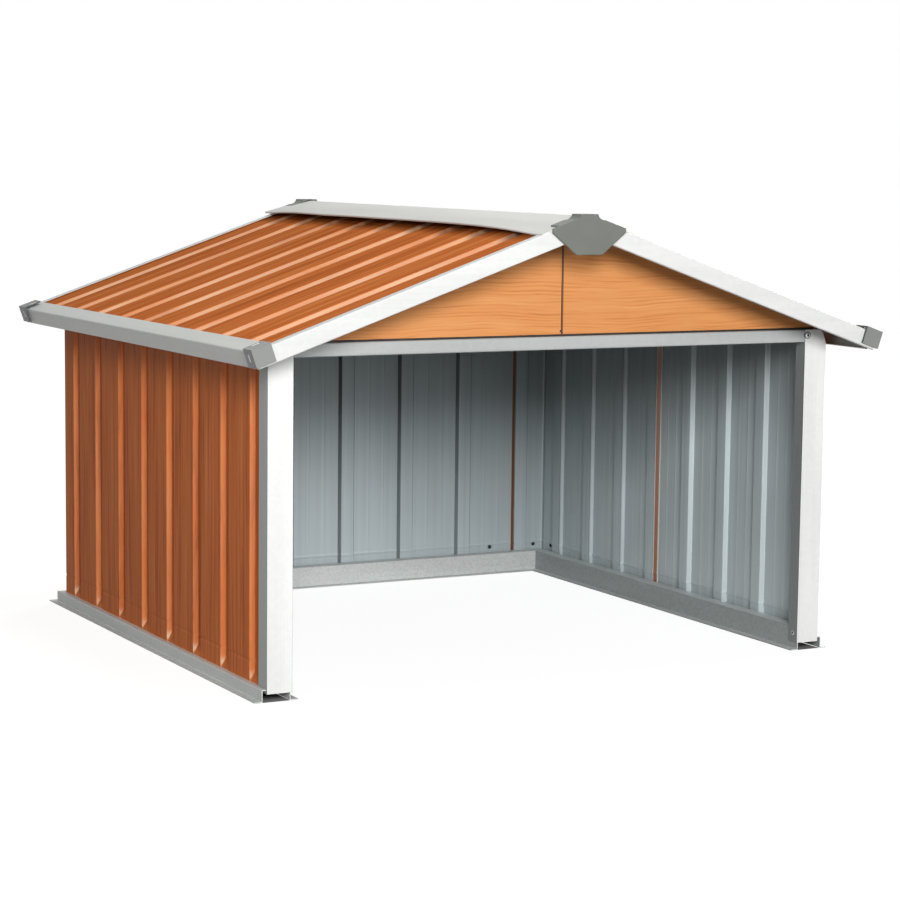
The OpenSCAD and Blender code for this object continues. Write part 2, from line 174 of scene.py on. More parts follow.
class Graph:
    """A node tree under construction, for a material, the world or a shape."""

    def __init__(self, tree: bpy.types.NodeTree) -> None:
        """Empties the tree."""
        self.tree = tree
        tree.nodes.clear()

    @staticmethod
    def pick(sockets: Iterable[bpy.types.NodeSocket], key: Union[str, int]) -> bpy.types.NodeSocket:
        """Finds a socket of a node.

        Args:
            sockets: The node's inputs or outputs.
            key: Its place, its identifier or its name.

        Returns:
            The socket.
        """
        if isinstance(key, int):
            return sockets[key]
        return next((s for s in sockets if s.identifier == key), None) or sockets[key]

    def node(
        self,
        kind: str,
        settings: Optional[dict[str, Any]] = None,
        values: Optional[dict[Union[str, int], Value]] = None,
        out: Union[str, int, None] = 0,
    ) -> Optional[Socket]:
        """Adds one node.

        Args:
            kind: The node's type.
            settings: Its properties, set first; stops are a ramp's places and colours.
            values: The values or links of its inputs.
            out: The output that is wanted, or None for a node without one.

        Returns:
            That output.
        """
        made = self.tree.nodes.new(kind)
        for name, setting in (settings or {}).items():
            if name == "stops":
                self.set_stops(made.color_ramp, setting)
            else:
                setattr(made, name, setting)
        for key, value in (values or {}).items():
            target = self.pick(made.inputs, key)
            for one in value if isinstance(value, list) else [value]:
                if isinstance(one, Socket):
                    self.tree.links.new(one.socket, target)
                else:
                    target.default_value = one
        return None if out is None else Socket(self, self.pick(made.outputs, out))

    @staticmethod
    def set_stops(ramp: bpy.types.ColorRamp, stops: list[tuple[float, Colour]]) -> None:
        """Gives a ramp its places and colours.

        Args:
            ramp: The ramp.
            stops: Its places, from 0 to 1, and their colours.
        """
        while len(ramp.elements) < len(stops):
            ramp.elements.new(1.0)
        for element, (place, colour) in zip(ramp.elements, stops):
            element.position = place
            element.color = (*colour, 1.0)

    def vector(self, x: Value, y: Value, z: Value = 0.0) -> Socket:
        """Three values as a vector."""
        return self.node("ShaderNodeCombineXYZ", {}, {0: x, 1: y, 2: z})

    def split(self, vector: Socket) -> tuple[Socket, Socket, Socket]:
        """The three values of a vector."""
        first = self.node("ShaderNodeSeparateXYZ", {}, {0: vector})
        return tuple(Socket(self, output) for output in first.socket.node.outputs)

    def place(self) -> tuple[Socket, Socket, Socket]:
        """Place on the piece, in metres."""
        return self.split(self.node("ShaderNodeTexCoord", {}, {}, "Object"))

    def facing(self) -> tuple[Socket, Socket, Socket]:
        """Way that the surface faces."""
        return self.split(self.node("ShaderNodeNewGeometry", {}, {}, "Normal"))

    def noise(self, at: Socket, detail: float = 2.0, roughness: float = 0.5, scale: float = 1.0) -> Socket:
        """Smooth noise from 0 to 1.

        Args:
            at: Where, in cells of the noise.
            detail: How many finer layers it has.
            roughness: How strong they are.
            scale: Cells to a unit of at.

        Returns:
            The noise's value.
        """
        return self.node(
            "ShaderNodeTexNoise",
            {},
            {"Vector": at, "Scale": scale, "Detail": detail, "Roughness": roughness},
            "Fac",
        )

    def drawn(self, across: Socket, along: Socket, cells: Cells) -> Socket:
        """Noise drawn out along a grain, from the distances across it and along it."""
        at = self.vector(across * cells.across, along * cells.along, cells.layer)
        return self.noise(at, cells.detail, cells.roughness)

    def crystals(self, at: Socket, scale: float) -> Socket:
        """A random value from 0 to 1 for each cell of a crystal pattern."""
        colour = self.node("ShaderNodeTexVoronoi", {}, {"Vector": at, "Scale": scale}, "Color")
        return self.split(colour)[0]

    def mix(self, share: Value, first: Value, second: Value) -> Socket:
        """Mixes two colours.

        Args:
            share: How much of the second, from 0 to 1.
            first: The first colour.
            second: The second colour.

        Returns:
            The mixed colour.
        """
        def colour(value: Value) -> Value:
            """A plain colour gets its fourth channel."""
            return (*value, 1.0) if isinstance(value, tuple) else value

        return self.node(
            "ShaderNodeMix",
            {"data_type": "RGBA"},
            {"Factor_Float": share, "A_Color": colour(first), "B_Color": colour(second)},
            "Result_Color",
        )

    def shade(self, colour: Value, factor: Value) -> Socket:
        """A colour made lighter or darker by a factor."""
        grey = self.vector(factor, factor, factor)
        return self.node("ShaderNodeVectorMath", {"operation": "MULTIPLY"}, {0: colour, 1: grey})

    def bump(self, height: Socket, distance: float, strength: float = 1.0) -> Socket:
        """A normal tilted by a height pattern.

        Args:
            height: The pattern, from 0 to 1.
            distance: Its height in metres.
            strength: How much of it shows.

        Returns:
            The normal.
        """
        return self.node(
            "ShaderNodeBump", {}, {"Height": height, "Distance": distance, "Strength": strength}
        )


class Finish:
    """A surface finish that makes one material on first use."""

    name: str

    def dress(self, graph: Graph) -> dict[str, Value]:
        """Builds the pattern and returns the shader's values."""
        raise NotImplementedError

    def material(self) -> bpy.types.Material:
        """Makes the material, or returns the one already made.

        Returns:
            The material.
        """
        found = bpy.data.materials.get(self.name)
        if found is not None:
            return found
        made = bpy.data.materials.new(self.name)
        made.use_nodes = True
        graph = Graph(made.node_tree)
        shader = graph.node("ShaderNodeBsdfPrincipled", {}, self.dress(graph))
        graph.node("ShaderNodeOutputMaterial", {}, {"Surface": shader}, None)
        return made


class Grain(Enum):
    """Way that the printed grain runs."""

    UP_THE_WALL = "up the wall"
    DOWN_THE_ROOF = "down the roof"
    ACROSS_THE_GABLE = "across the gable"


@dataclass(frozen=True)
class WoodPrint(Finish):
    """Wood picture printed and lacquered on steel sheet, with a painted highlight on its rib flanks and feet
    and a painted shadow below the ridge cap.

    The picture's layers have a strength and a width in metres, and the painted highlight and shadow have a
    share and a reach.
    """

    name: str
    grain: Grain
    pale: Colour
    body: Colour
    dark: Colour
    board: float
    streak: float
    line: float
    board_w: float = 0.022
    streak_w: float = 0.0055
    fibre_w: float = 0.0014
    pore_w: float = 0.00084
    fibre: float = 0.5
    pore: float = 0.12
    depth: float = 0.42
    line_spacing: float = 0.0085
    line_sway: float = 1.6
    wave: float = 0.012
    roughness: float = 0.46
    fibre_roughness: float = 0.12
    lacquer: float = 0.12
    lacquer_roughness: float = 0.28
    relief: float = 0.06 * MM
    rub: float = 0.0
    # Painted highlight: the print is mixed towards a pale tone on the rib flanks and at the rib feet.
    flank_highlight: float = 0.0
    flank_highlight_least: float = 0.45
    flank_highlight_patches: float = 0.75
    # Pale tone of the painted highlight.
    thin: Colour = srgb(244, 226, 192)
    foot_highlight: float = 0.0
    foot_highlight_from: float = 0.022
    foot_highlight_to: float = 0.036
    # Painted shadow: the print darkens in a band below the ridge cap.
    painted_ridge_shadow: float = 0.0
    painted_ridge_shadow_from: float = 0.070
    painted_ridge_shadow_to: float = 0.094
    painted_ridge_shadow_least: float = 0.55
    painted_ridge_shadow_streaks: float = 0.6

    DRIFT = Cells(9.0, 4.5, 1.3)
    BREAKS = Cells(90.0, 9.0, 9.4)
    PATCHES = Cells(14.0, 7.0, 4.2)
    RING_RANGE = (0.5, 1.0)
    BREAK_RANGE = (0.4, 0.62)
    PORE_RANGE = (0.58, 0.72)
    PATCH_RANGE = (0.25, 0.75)
    ROOF_FLANK = (0.7, 0.93)
    WALL_FLANK = (0.2, 0.5)

    def lie(self, graph: Graph) -> tuple[Socket, Socket]:
        """Distances across the grain and along it.

        Args:
            graph: The material's graph.

        Returns:
            The two distances in metres.
        """
        x, y, z = graph.place()
        if self.grain is Grain.UP_THE_WALL:
            return x + y, z
        if self.grain is Grain.DOWN_THE_ROOF:
            return y, x
        return z, x

    def flanks(self, graph: Graph) -> Socket:
        """1 on the flanks of the ribs, where the highlight is painted and the lacquer can be heavier, and 0
        on the flats.

        Args:
            graph: The material's graph.

        Returns:
            The share.
        """
        x, y, _ = (way.math("ABSOLUTE") for way in graph.facing())
        if self.grain is Grain.DOWN_THE_ROOF:
            return y.smooth(*self.ROOF_FLANK)
        return x.least(y).smooth(*self.WALL_FLANK)

    def layers(self, graph: Graph, across: Socket, along: Socket) -> dict[str, Socket]:
        """The picture's layers, drawn out along the grain.

        Args:
            graph: The material's graph.
            across: Distance across the wavering grain.
            along: Distance along it.

        Returns:
            Each layer from 0 to 1, by its name.
        """
        cells = {
            "board": Cells(1 / self.board_w, 2.2, 5.0),
            "streak": Cells(1 / self.streak_w, 5.0, 3.1, roughness=0.55),
            "fibre": Cells(1 / self.fibre_w, 16.0, 7.7, 3.0, 0.6),
            "pore": Cells(1 / self.pore_w, 34.0, 1.9, roughness=0.6),
        }
        found = {label: graph.drawn(across, along, one) for label, one in cells.items()}
        turns = across / self.line_spacing + found["board"] * self.line_sway
        ring = ((turns * math.tau).math("SINE") * 0.5 + 0.5).smooth(*self.RING_RANGE)
        found["line"] = ring * graph.drawn(across, along, self.BREAKS).smooth(*self.BREAK_RANGE)
        found["pore"] = found["pore"].smooth(*self.PORE_RANGE)
        return found

    def picture(self, graph: Graph, layers: dict[str, Socket]) -> Socket:
        """Colour of the unworn print.

        Args:
            graph: The material's graph.
            layers: The picture's layers.

        Returns:
            The colour.
        """
        depth = layers["line"] * self.line + layers["pore"] * self.pore + self.depth
        for label in ("board", "streak", "fibre"):
            depth = depth + (layers[label] - 0.5) * getattr(self, label)
        stops = [(0.0, self.pale), (0.5, self.body), (1.0, self.dark)]
        return graph.node("ShaderNodeValToRGB", {"stops": stops}, {"Fac": depth})

    def dress(self, graph: Graph) -> dict[str, Value]:
        """The picture, with a painted highlight on the rib flanks and feet and a painted shadow below the
        ridge cap.

        Args:
            graph: The material's graph.

        Returns:
            The values of the shader's sockets.
        """
        across, along = self.lie(graph)
        across = across + (graph.drawn(across, along, self.DRIFT) - 0.5) * self.wave
        layers = self.layers(graph, across, along)
        flank = self.flanks(graph)
        patchy = graph.drawn(across, along, self.PATCHES).smooth(*self.PATCH_RANGE)
        # Painted highlight on the flanks and at the rib feet, patchy along the grain.
        painted_highlight = self.flank_highlight + along.smooth(self.foot_highlight_to, self.foot_highlight_from) * self.foot_highlight
        painted_highlight = flank * painted_highlight * (self.flank_highlight_least + patchy * self.flank_highlight_patches)
        colour = graph.mix(painted_highlight, self.picture(graph, layers), self.thin)
        # Painted shadow below the ridge cap, streaked along the grain.
        painted_ridge_shadow = along.math("ABSOLUTE").smooth(self.painted_ridge_shadow_to, self.painted_ridge_shadow_from)
        painted_ridge_shadow = painted_ridge_shadow * (self.painted_ridge_shadow_least + layers["streak"] * self.painted_ridge_shadow_streaks)
        return {
            "Base Color": graph.shade(colour, 1 - painted_ridge_shadow * self.painted_ridge_shadow),
            "Roughness": self.roughness + layers["fibre"] * self.fibre_roughness,
            "Coat Weight": self.lacquer + flank * self.rub,
            "Coat Roughness": self.lacquer_roughness,
            "Specular IOR Level": 0.0,
            "Normal": graph.bump(layers["fibre"] * 0.6 + layers["pore"] * 0.4, self.relief, 0.6),
        }


@dataclass(frozen=True)
class BackCoat(Finish):
    """Grey lacquer on the inside of the sheets."""

    name: str
    tone: Colour
    stain: Colour
    metal: float = 0.15
    # Painted shade: darker towards the top of the wall, under the roof.
    painted_top_shade: float = 0.0
    painted_top_shade_low: float = 0.14
    painted_top_shade_high: float = 0.42
    # Painted shade on the sideways flanks of the ribs.
    painted_flank_shade: float = 0.5
    cloud_across: float = 5.0
    cloud_up: float = 2.0
    speck: float = 900.0
    roughness: float = 0.36
    gloss: float = 0.15
    relief: float = 0.04 * MM

    LINES = Cells(300.0, 3.0, 2.0)
    BANDS = Cells(95.0, 1.2, 6.0, 3.0, 0.6)
    SIDEWAYS = (0.3, 0.7)
    FORWARD = (-0.1, -0.35)

    def shaded_flanks(self, graph: Graph) -> Socket:
        """1 on the flanks of the ribs that face sideways and a little forwards, where shade is painted, and
        0 elsewhere.
        """
        x, y, _ = graph.facing()
        return x.math("ABSOLUTE").smooth(*self.SIDEWAYS) * y.smooth(*self.FORWARD)

    def dress(self, graph: Graph) -> dict[str, Value]:
        """Clouds and specks over faint roller lines, with painted shade towards the top and on the flanks
        that face sideways.

        Args:
            graph: The material's graph.

        Returns:
            The values of the shader's sockets.
        """
        x, y, z = graph.place()
        cloud_at = graph.vector(x * self.cloud_across, y * self.cloud_across, z * self.cloud_up)
        cloud = graph.noise(cloud_at, 3.0, 0.55).smooth(0.3, 0.7)
        lines = graph.drawn(x + y, z, self.LINES)
        bands = graph.drawn(x + y, z, self.BANDS)
        specks = graph.noise(graph.vector(x, y, z), 2.0, 0.6, self.speck)
        colour = graph.mix(cloud * 0.5 + specks * 0.1, self.tone, self.stain)
        # Painted shade towards the top.
        head = z.smooth(self.painted_top_shade_low, self.painted_top_shade_high) * self.painted_top_shade
        level = (0.8 + lines * 0.12 + bands * 0.28) * (1 - head) * (1 - self.shaded_flanks(graph) * self.painted_flank_shade)
        return {
            "Base Color": graph.shade(colour, level),
            "Roughness": self.roughness + cloud * 0.08 + bands * 0.1,
            "Metallic": self.metal,
            "Specular IOR Level": self.gloss,
            "Normal": graph.bump(lines * 0.5 + specks * 0.5, self.relief, 0.5),
        }


class Run(Enum):
    """Axis along which a zinc strip was rolled."""

    ALONG_X = 0
    ALONG_Y = 1
    ALONG_Z = 2


@dataclass(frozen=True)
class Zinc(Finish):
    """Galvanised steel strip with faint crystals and roller lines."""

    name: str
    tone: Colour
    run: Run
    metal: float = 0.1
    roughness: float = 0.42
    crystal: float = 0.05
    gloss: float = 0.1
    flower: float = 170.0
    relief: float = 0.04 * MM

    LINES = Cells(420.0, 4.0, detail=3.0, roughness=0.6)
    SMEAR = Cells(26.0, 3.0)

    def rolled(self, graph: Graph, cells: Cells) -> Socket:
        """Noise drawn out along the strip.

        Args:
            graph: The material's graph.
            cells: The noise's cells.

        Returns:
            The noise's value.
        """
        at = [
            axis * (cells.along if i == self.run.value else cells.across)
            for i, axis in enumerate(graph.place())
        ]
        return graph.noise(graph.vector(*at), cells.detail, cells.roughness)

    def dress(self, graph: Graph) -> dict[str, Value]:
        """Crystal flowers, lines along the strip and a slow smear.

        Args:
            graph: The material's graph.

        Returns:
            The values of the shader's sockets.
        """
        lines = self.rolled(graph, self.LINES)
        smear = self.rolled(graph, self.SMEAR).smooth(0.3, 0.7)
        flowers = graph.crystals(graph.vector(*graph.place()), self.flower)
        level = 0.9 + lines * 0.1 + (flowers - 0.5) * self.crystal + (smear - 0.5) * 0.08
        return {
            "Base Color": graph.shade(self.tone, level),
            "Roughness": self.roughness + (flowers - 0.5) * 0.12 + smear * 0.06,
            "Metallic": self.metal,
            "Specular IOR Level": self.gloss,
            "Normal": graph.bump(lines * 0.6 + flowers * 0.4, self.relief, 0.5),
        }


@dataclass(frozen=True)
class Moulded(Finish):
    """Moulded plastic with a fine spark-eroded skin."""

    name: str
    tone: Colour
    skin: float = 1400.0
    flow: float = 30.0
    roughness: float = 0.34
    gloss: float = 0.5
    relief: float = 0.08 * MM

    def dress(self, graph: Graph) -> dict[str, Value]:
        """Fine grain and a few flow clouds.

        Args:
            graph: The material's graph.

        Returns:
            The values of the shader's sockets.
        """
        at = graph.vector(*graph.place())
        skin = graph.noise(at, 3.0, 0.6, self.skin)
        flow = graph.noise(at, 2.0, 0.5, self.flow).smooth(0.3, 0.7)
        return {
            "Base Color": graph.shade(self.tone, 0.93 + skin * 0.06 + flow * 0.08),
            "Roughness": self.roughness + skin * 0.1,
            "Specular IOR Level": self.gloss,
            "Normal": graph.bump(skin, self.relief, 0.5),
        }


@dataclass(frozen=True)
class Plated(Finish):
    """Small turned hardware, plated or blackened."""

    name: str
    tone: Colour
    metal: float = 0.7
    blotch: float = 700.0
    roughness: float = 0.3
    relief: float = 0.05 * MM

    def dress(self, graph: Graph) -> dict[str, Value]:
        """Fine turning marks and blotches.

        Args:
            graph: The material's graph.

        Returns:
            The values of the shader's sockets.
        """
        blotch = graph.noise(graph.vector(*graph.place()), 3.0, 0.6, self.blotch)
        return {
            "Base Color": graph.shade(self.tone, 0.8 + blotch * 0.4),
            "Roughness": self.roughness + blotch * 0.2,
            "Metallic": self.metal,
            "Normal": graph.bump(blotch, self.relief, 0.4),
        }


# The wall and roof prints carry a painted highlight on the rib flanks, and the wall's also at the rib feet.
WALL_PRINT = WoodPrint(
    "printed_wall", Grain.UP_THE_WALL, srgb(232, 141, 79), srgb(214, 115, 56), srgb(140, 66, 32),
    board=0.8, streak=0.95, line=0.1, lacquer=0.14, flank_highlight=0.1, foot_highlight=0.55,
)
# The roof's print also carries the painted shadow below the ridge cap.
ROOF_PRINT = WoodPrint(
    "printed_roof", Grain.DOWN_THE_ROOF, srgb(228, 142, 76), srgb(204, 110, 50), srgb(140, 67, 28),
    board=0.8, streak=0.9, line=0.1, lacquer=0.04, rub=0.4, flank_highlight=0.45, painted_ridge_shadow=0.75,
)
GABLE_PRINT = WoodPrint(
    "printed_gable", Grain.ACROSS_THE_GABLE, srgb(227, 167, 113), srgb(215, 144, 86), srgb(166, 90, 46),
    board=0.35, streak=0.5, line=0.18, streak_w=0.003, line_spacing=0.005, wave=0.03,
)
HEM_PRINT = Moulded("printed_hem", srgb(126, 74, 42))
BACK_COAT = BackCoat("grey_back_coat", srgb(196, 206, 208), srgb(176, 186, 189), painted_top_shade=0.45)
# A slightly lighter copy of the back coat for the side walls' insides, painted light, with its painted top
# shade over a higher band.
SIDE_COAT = BackCoat(
    "grey_side_coat", srgb(200, 210, 212), srgb(182, 192, 195),
    painted_top_shade=0.5, painted_top_shade_low=0.24, painted_top_shade_high=0.44, painted_flank_shade=0.0,
)
# A much darker copy of the grey coat for the roof's underside: painted shade.
ROOF_SHADED_COAT = BackCoat("grey_roof_coat", srgb(86, 90, 91), srgb(72, 76, 77), metal=0.1)
CUT_EDGE = Zinc("cut_steel_edge", srgb(214, 205, 192), Run.ALONG_Z)
POST_ZINC = Zinc(
    "galvanised_post", srgb(238, 239, 236), Run.ALONG_Z, metal=0.04, roughness=0.4, crystal=0.03
)
# Darker copies of the post's zinc for its outward side and its inward return: painted shade.
POST_SIDE_SHADED_ZINC = Zinc("galvanised_post_side", srgb(178, 182, 179), Run.ALONG_Z)
POST_RETURN_SHADED_ZINC = Zinc("galvanised_post_return", srgb(144, 148, 147), Run.ALONG_Z)
# Darker copy of the rail zinc for the side rails' inward faces: painted shade. The coarser crystals are the
# zinc's own.
RAIL_INNER_SHADED_ZINC = Zinc(
    "galvanised_inner_rail_shaded", srgb(168, 174, 173), Run.ALONG_Y, crystal=0.18, flower=300.0
)
# Darker than the other frame zinc: painted shade under the roof's overhang.
HEADER_SHADED_ZINC = Zinc("galvanised_header", srgb(179, 182, 181), Run.ALONG_X)
REAR_RAIL_ZINC = Zinc("galvanised_across", srgb(214, 217, 215), Run.ALONG_X, crystal=0.16, flower=420.0)
FRAME_ZINC_Y = Zinc("galvanised_along", srgb(212, 216, 214), Run.ALONG_Y, crystal=0.12, flower=420.0)
TRIM_ZINC_X = Zinc(
    "galvanised_verge", srgb(228, 229, 227), Run.ALONG_X, metal=0.04, roughness=0.4, crystal=0.03
)
TRIM_ZINC_Y = Zinc("galvanised_trim", srgb(214, 216, 211), Run.ALONG_Y, gloss=0.2)
RIDGE_ZINC = Zinc(
    "galvanised_ridge", srgb(234, 235, 230), Run.ALONG_Y,
    metal=0.04, roughness=0.5, crystal=0.03, gloss=0.3,
)
APEX_GREY = Moulded("moulded_apex_cap", srgb(101, 103, 97))
CORNER_GREY = Moulded("moulded_corner_cap", srgb(128, 131, 128))
# Darker copies of the corner caps' grey: painted shade on the front caps' sides and insides, and over the
# rear caps.
CORNER_SHADED_GREY = Moulded("moulded_corner_shaded", srgb(92, 95, 93))
CORNER_DEEP_SHADED_GREY = Moulded("moulded_corner_deep_shaded", srgb(62, 64, 63))
# Dark beads put where the gables' seams and feet show only shadow: painted shadow.
SEAM_SHADOW_BROWN = Moulded("seam_shadow_brown", srgb(84, 44, 24))
SHADOW_GAP_BLACK = Moulded("shadow_gap_black", srgb(34, 34, 34))
BLACK_STEEL = Plated("blackened_screw", srgb(38, 40, 42), metal=0.4)
BRIGHT_STEEL = Plated("plated_bolt", srgb(190, 192, 194))
CLIP_WHITE = Moulded("moulded_clip", srgb(238, 238, 236))


def keep(piece: bpy.types.Object, slot: str, nodes: Iterable[str] = ()) -> None:
    """Hands a finished piece to the frame.

    Args:
        piece: The piece, with its place in its mesh.
        slot: A material slot's name; not used.
        nodes: The nodes that it stands for.
    """
    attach(piece, BODY)
    if nodes:
        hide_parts(*nodes)
    log.info("%s: %d faces", piece.name, len(piece.data.polygons))


def loose_object(name: str, data: bpy.types.ID) -> bpy.types.Object:
    """A new object in the scene that holds a mesh, a lamp or a camera.

    Args:
        name: The object's name.
        data: What it holds.

    Returns:
        The object.
    """
    made = bpy.data.objects.new(name, data)
    bpy.context.scene.collection.objects.link(made)
    return made


def settle(source: bpy.types.Object, name: str, place: Optional[Matrix] = None) -> bpy.types.Object:
    """Turns an object and its modifiers into a plain mesh object at the origin.

    Args:
        source: The object, which is removed.
        name: The new object's name.
        place: Where its mesh goes.

    Returns:
        The new object.
    """
    bpy.context.view_layer.update()
    evaluated = source.evaluated_get(bpy.context.evaluated_depsgraph_get())
    mesh = bpy.data.meshes.new_from_object(evaluated)
    bpy.data.objects.remove(source)
    mesh.name = name
    if place is not None:
        mesh.transform(place)
        if place.determinant() < 0:
            mesh.flip_normals()
    return loose_object(name, mesh)


def weigh_normals(piece: bpy.types.Object) -> None:
    """Weighs an object's normals by its faces, so that flats look flat beside roundings."""
    normals = piece.modifiers.new("normals", "WEIGHTED_NORMAL")
    normals.keep_sharp = True


def closed_tube(name: str, rings: list[list[Point]]) -> bpy.types.Mesh:
    """A mesh drawn through rings of points and closed at both ends.

    Args:
        name: The mesh's name.
        rings: The rings, each with as many points.

    Returns:
        The mesh, facing outwards.
    """
    around = len(rings[0])
    last = around * (len(rings) - 1)
    faces = [
        (low + i, low + (i + 1) % around, low + around + (i + 1) % around, low + around + i)
        for low in range(0, last, around)
        for i in range(around)
    ]
    faces += [tuple(range(around - 1, -1, -1)), tuple(range(last, last + around))]
    mesh = bpy.data.meshes.new(name)
    mesh.from_pydata([point for ring in rings for point in ring], [], faces)
    work = bmesh.new()
    work.from_mesh(mesh)
    bmesh.ops.recalc_face_normals(work, faces=work.faces)
    work.to_mesh(mesh)
    work.free()
    return mesh


class ShapeTree:
    """A Geometry Nodes tree with named inputs."""

    def __init__(self, name: str, numbers: Iterable[str], objects: Iterable[str] = ()) -> None:
        """Makes the tree's inputs.

        Args:
            name: The tree's name.
            numbers: Names of its number inputs.
            objects: Names of its object inputs.
        """
        self.tree = bpy.data.node_groups.new(name, "GeometryNodeTree")
        self.graph = Graph(self.tree)
        face = self.tree.interface
        face.new_socket("Geometry", in_out="INPUT", socket_type="NodeSocketGeometry")
        kinds = {number: "NodeSocketFloat" for number in numbers}
        kinds |= {label: "NodeSocketObject" for label in objects} | {"Finish": "NodeSocketMaterial"}
        self.keys = {
            label: face.new_socket(label, in_out="INPUT", socket_type=kind).identifier
            for label, kind in kinds.items()
        }
        face.new_socket("Geometry", in_out="OUTPUT", socket_type="NodeSocketGeometry")
        self.entry = self.graph.node("NodeGroupInput").socket.node

    def given(self, label: str) -> Socket:
        """The tree's input of that name."""
        return Socket(self.graph, self.entry.outputs[label])

    def close(self, shape: Socket) -> None:
        """Ends the tree: instances made real, and the finish put on.

        Args:
            shape: The finished shape.
        """
        real = self.graph.node("GeometryNodeRealizeInstances", {}, {"Geometry": shape})
        finished = self.graph.node(
            "GeometryNodeSetMaterial", {}, {"Geometry": real, "Material": self.given("Finish")}
        )
        self.graph.node("NodeGroupOutput", {}, {0: finished}, None)

    def attach(
        self, piece: bpy.types.Object, values: dict[str, Union[float, bpy.types.Object]], finish: Finish
    ) -> None:
        """Puts the tree on an object as a modifier.

        Args:
            piece: The object.
            values: The tree's number and object inputs.
            finish: The material that it ends with.
        """
        modifier = piece.modifiers.new(self.tree.name, "NODES")
        modifier.node_group = self.tree
        for label, value in values.items():
            modifier[self.keys[label]] = float(value) if isinstance(value, (int, float)) else value
        modifier[self.keys["Finish"]] = finish.material()


@dataclass(frozen=True)
class RibForm:
    """Section of the ribs and creases pressed into the sheet."""

    depth: float = 7.0 * MM
    flat: float = 20.0 * MM
    flank: float = 4.5 * MM
    crease_depth: float = 0.6 * MM
    crease_w: float = 5.0 * MM
    crease_shares: tuple[float, float] = (1 / 3, 2 / 3)
    flank_steps: int = 8
    crease_steps: int = 4

    @property
    def reach(self) -> float:
        """Half of a rib's width over its flanks."""
        return self.flat / 2 + self.flank


@dataclass(frozen=True)
class RibRow:
    """Evenly spaced ribs along a wall or a roof slope."""

    first: float
    spacing: float
    count: int

    @classmethod
    def between(cls, first: float, last: float, count: int) -> "RibRow":
        """A row from the middle of its first rib to that of its last."""
        return cls(first, (last - first) / (count - 1), count)

    def part(self, start: int, count: int, origin: float) -> "RibRow":
        """So many of the ribs from a number on, measured from the edge of a panel."""
        return RibRow(self.first + start * self.spacing - origin, self.spacing, count)

    def middles(self) -> list[float]:
        """Places of the ribs' middles."""
        return [self.first + i * self.spacing for i in range(self.count)]


@dataclass(frozen=True)
class Bend:
    """Fold of a sheet round a corner, and the one rib beyond it."""

    start: float = FAR_AWAY
    radius: float = 6.0 * MM
    rib: float = -FAR_AWAY
    steps: int = 8

    @property
    def arc(self) -> float:
        """Length of sheet in the fold."""
        return self.radius * QUARTER_TURN


class RollFormer:
    """Geometry Nodes that press ribs into a flat blank, flatten their feet and fold it round a corner."""

    NUMBERS = (
        "Rib Depth", "Rib Flat", "Rib Flank", "First Rib", "Rib Spacing", "Rib Count", "Corner Rib",
        "Crease Depth", "Crease Width", "Crease A", "Crease B", "Foot Height", "Foot Share",
        "Bend Start", "Bend Radius", "Bead Depth", "Bead Height", "Bead Width",
    )

    def __init__(self) -> None:
        """Builds the tree."""
        self.shape = ShapeTree("roll_former", self.NUMBERS)
        graph = self.shape.graph
        along, _, up = graph.split(graph.node("GeometryNodeInputPosition"))
        depth = self.pressed(along) * self.foot(up) + self.bead(up)
        start, radius = self.shape.given("Bend Start"), self.shape.given("Bend Radius")
        past = along - start
        turn = (past / radius).most(0.0).least(QUARTER_TURN)
        sine, cosine = turn.math("SINE"), turn.math("COSINE")
        straight = (past - radius * QUARTER_TURN).most(0.0)
        bent = graph.vector(
            along.least(start) + radius * sine - depth * sine,
            radius * (1 - cosine) + straight + depth * cosine,
            up,
        )
        blank = self.shape.given("Geometry")
        self.shape.close(graph.node("GeometryNodeSetPosition", {}, {"Geometry": blank, "Position": bent}))

    def pressed(self, along: Socket) -> Socket:
        """Depth of the ribs and creases at full height.

        Args:
            along: Distance along the blank.

        Returns:
            The depth in metres.
        """
        given = self.shape.given
        reach = given("Rib Flat") * 0.5 + given("Rib Flank")
        steps = (along - given("First Rib")) / given("Rib Spacing")
        nearest = steps.math("ROUND").most(0.0).least(given("Rib Count") - 1)
        off = (steps - nearest).math("ABSOLUTE") * given("Rib Spacing")
        near = off.least(along.distance(given("Corner Rib")))
        rib = near.smooth(reach, given("Rib Flat") * 0.5)
        crest = given("Rib Spacing") - reach * 2
        within = (steps - steps.math("FLOOR")) * given("Rib Spacing") - reach
        inside = steps.math("GREATER_THAN", 0.0) * steps.math("LESS_THAN", given("Rib Count") - 1)
        creases = [
            within.distance(crest * given(label)).smooth(given("Crease Width") * 0.5, 0.0)
            for label in ("Crease A", "Crease B")
        ]
        crease = creases[0].most(creases[1]) * inside
        return rib * given("Rib Depth") + crease * given("Crease Depth")

    def bead(self, up: Socket) -> Socket:
        """Depth of the bead that stiffens the foot of a wall."""
        given = self.shape.given
        return up.distance(given("Bead Height")).smooth(given("Bead Width") * 0.5, 0.0) * given("Bead Depth")

    def foot(self, up: Socket) -> Socket:
        """Share of the depth that is left at a height above the flattened foot."""
        low = self.shape.given("Foot Share")
        return low + (1 - low) * up.smooth(0.0, self.shape.given("Foot Height"))


class SheetFace(IntEnum):
    """Material slots of a ribbed sheet."""

    OUTSIDE = 0
    INSIDE = 1
    EDGE = 2
    HEM = 3


